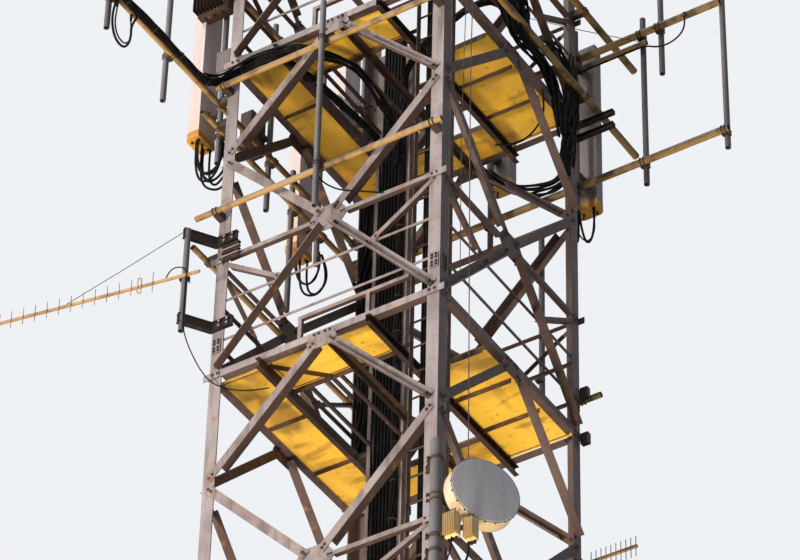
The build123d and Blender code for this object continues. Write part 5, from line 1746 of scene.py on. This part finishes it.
@dataclass
class Studio:
    """Plain floor, soft lamps, pale background and the camera of the photograph."""

    lens: float = 183.03
    sensor: float = 36.0
    azimuth: float = 33.197
    elevation: float = 40.819
    roll: float = 1.497
    place: Point = (16.1166, -24.6209, -19.8507)
    floor_size: float = 160.0
    view_end: float = 200
    sky: Colour = (0.72, 0.80, 0.95)
    sky_strength: float = 0.15
    background: Colour = (0.86, 0.88, 0.91)
    lamps: tuple[tuple[str, Point, Point, float, float, Colour], ...] = (
        ("key", (-13, -24, -3.0), (0, 0, 6), 5, 8200, (1.0, 0.86, 0.72)),
        ("top", (-5, -7, 24), (0, 0, 0), 14, 3600, (1.0, 0.92, 0.80)),
        ("glow", (-1, -5, -18.0), (0, 0, 6), 8, 5200, (1.0, 0.90, 0.74)),
    )

    def camera(self) -> None:
        """Set up the camera at the photograph's viewing angle."""
        azimuth, elevation, roll = (math.radians(v) for v in (self.azimuth, self.elevation, self.roll))
        right = Vector((math.cos(azimuth), math.sin(azimuth), 0))
        flat = math.cos(elevation)
        ahead = Vector((-math.sin(azimuth) * flat, math.cos(azimuth) * flat, math.sin(elevation)))
        up = right.cross(ahead)
        side = right * math.cos(roll) + up * math.sin(roll)
        top = up * math.cos(roll) - right * math.sin(roll)
        data = bpy.data.cameras.new("camera")
        data.lens = self.lens
        data.sensor_width = self.sensor
        data.clip_end = self.view_end
        camera = bpy.data.objects.new("camera", data)
        bpy.context.collection.objects.link(camera)
        turn = Matrix((side, top, -ahead)).transposed().to_4x4()
        camera.matrix_world = at(self.place) @ turn
        bpy.context.scene.camera = camera

    def floor(self) -> None:
        """Lay the plain floor."""
        half = self.floor_size / 2
        mesh = bpy.data.meshes.new("floor")
        corners = [(-half, -half, 0), (half, -half, 0), (half, half, 0), (-half, half, 0)]
        mesh.from_pydata(corners, [], [(0, 1, 2, 3)])
        floor = bpy.data.objects.new("floor", mesh)
        bpy.context.collection.objects.link(floor)
        mesh.materials.append(FloorFinish().build())

    def lamp(self, name: str, place: Point, aim_at: Point, size: float, power: float, colour: Colour) -> None:
        """Hang one soft lamp.

        Args:
            name: Name of the lamp.
            place: Where it hangs.
            aim_at: What it looks at.
            size: Side of its square.
            power: Power in watts.
            colour: Colour of its light.
        """
        data = bpy.data.lights.new(name, "AREA")
        data.shape = "SQUARE"
        data.size = size
        data.energy = power
        data.color = colour
        lamp = bpy.data.objects.new(name, data)
        bpy.context.collection.objects.link(lamp)
        lamp.matrix_world = aim(Vector(place), Vector(place) - Vector(aim_at))

    def world(self) -> None:
        """Pale background, with a plainer light on the object."""
        world = bpy.data.worlds.new("world")
        bpy.context.scene.world = world
        world.use_nodes = True
        tree = world.node_tree
        tree.nodes.clear()
        path = tree.nodes.new("ShaderNodeLightPath")
        light = tree.nodes.new("ShaderNodeBackground")
        light.inputs["Color"].default_value = (*self.sky, 1)
        light.inputs["Strength"].default_value = self.sky_strength
        pale = tree.nodes.new("ShaderNodeBackground")
        pale.inputs["Color"].default_value = (*self.background, 1)
        mix = tree.nodes.new("ShaderNodeMixShader")
        output = tree.nodes.new("ShaderNodeOutputWorld")
        seen = path.outputs["Is Camera Ray"]
        for kind in ("Is Glossy Ray", "Is Transmission Ray"):
            add = tree.nodes.new("ShaderNodeMath")
            add.operation = "ADD"
            add.use_clamp = True
            tree.links.new(seen, add.inputs[0])
            tree.links.new(path.outputs[kind], add.inputs[1])
            seen = add.outputs[0]
        tree.links.new(seen, mix.inputs[0])
        tree.links.new(light.outputs[0], mix.inputs[1])
        tree.links.new(pale.outputs[0], mix.inputs[2])
        tree.links.new(mix.outputs[0], output.inputs[0])

    def build(self) -> None:
        """Set the whole studio."""
        bpy.context.scene.view_settings.view_transform = "Standard"
        self.world()
        self.floor()
        self.camera()
        for row in self.lamps:
            self.lamp(*row)


def main() -> None:
    """Dress the tower and set the studio."""
    logging.basicConfig(level=logging.INFO, format="%(name)s %(message)s")
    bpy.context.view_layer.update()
    finishes = Finishes()
    finishes.build()
    plan = TowerPlan()
    Bolts(plan).build(finishes)
    pipes = Pipes()
    pipes.build(finishes)
    Clamps(pipes).build(finishes)
    FreeCables().build(finishes)
    RunBundles().build(finishes)
    RadioUnits().build(finishes)
    AntennaCaps().build(finishes)
    Dish().build(finishes)
    DishMount().build(finishes)
    BentArms().build(finishes)
    PlatformTrim().build(finishes)
    SmallFittings().build(finishes)
    Studio().build()


if __name__ == "__main__":
    main()
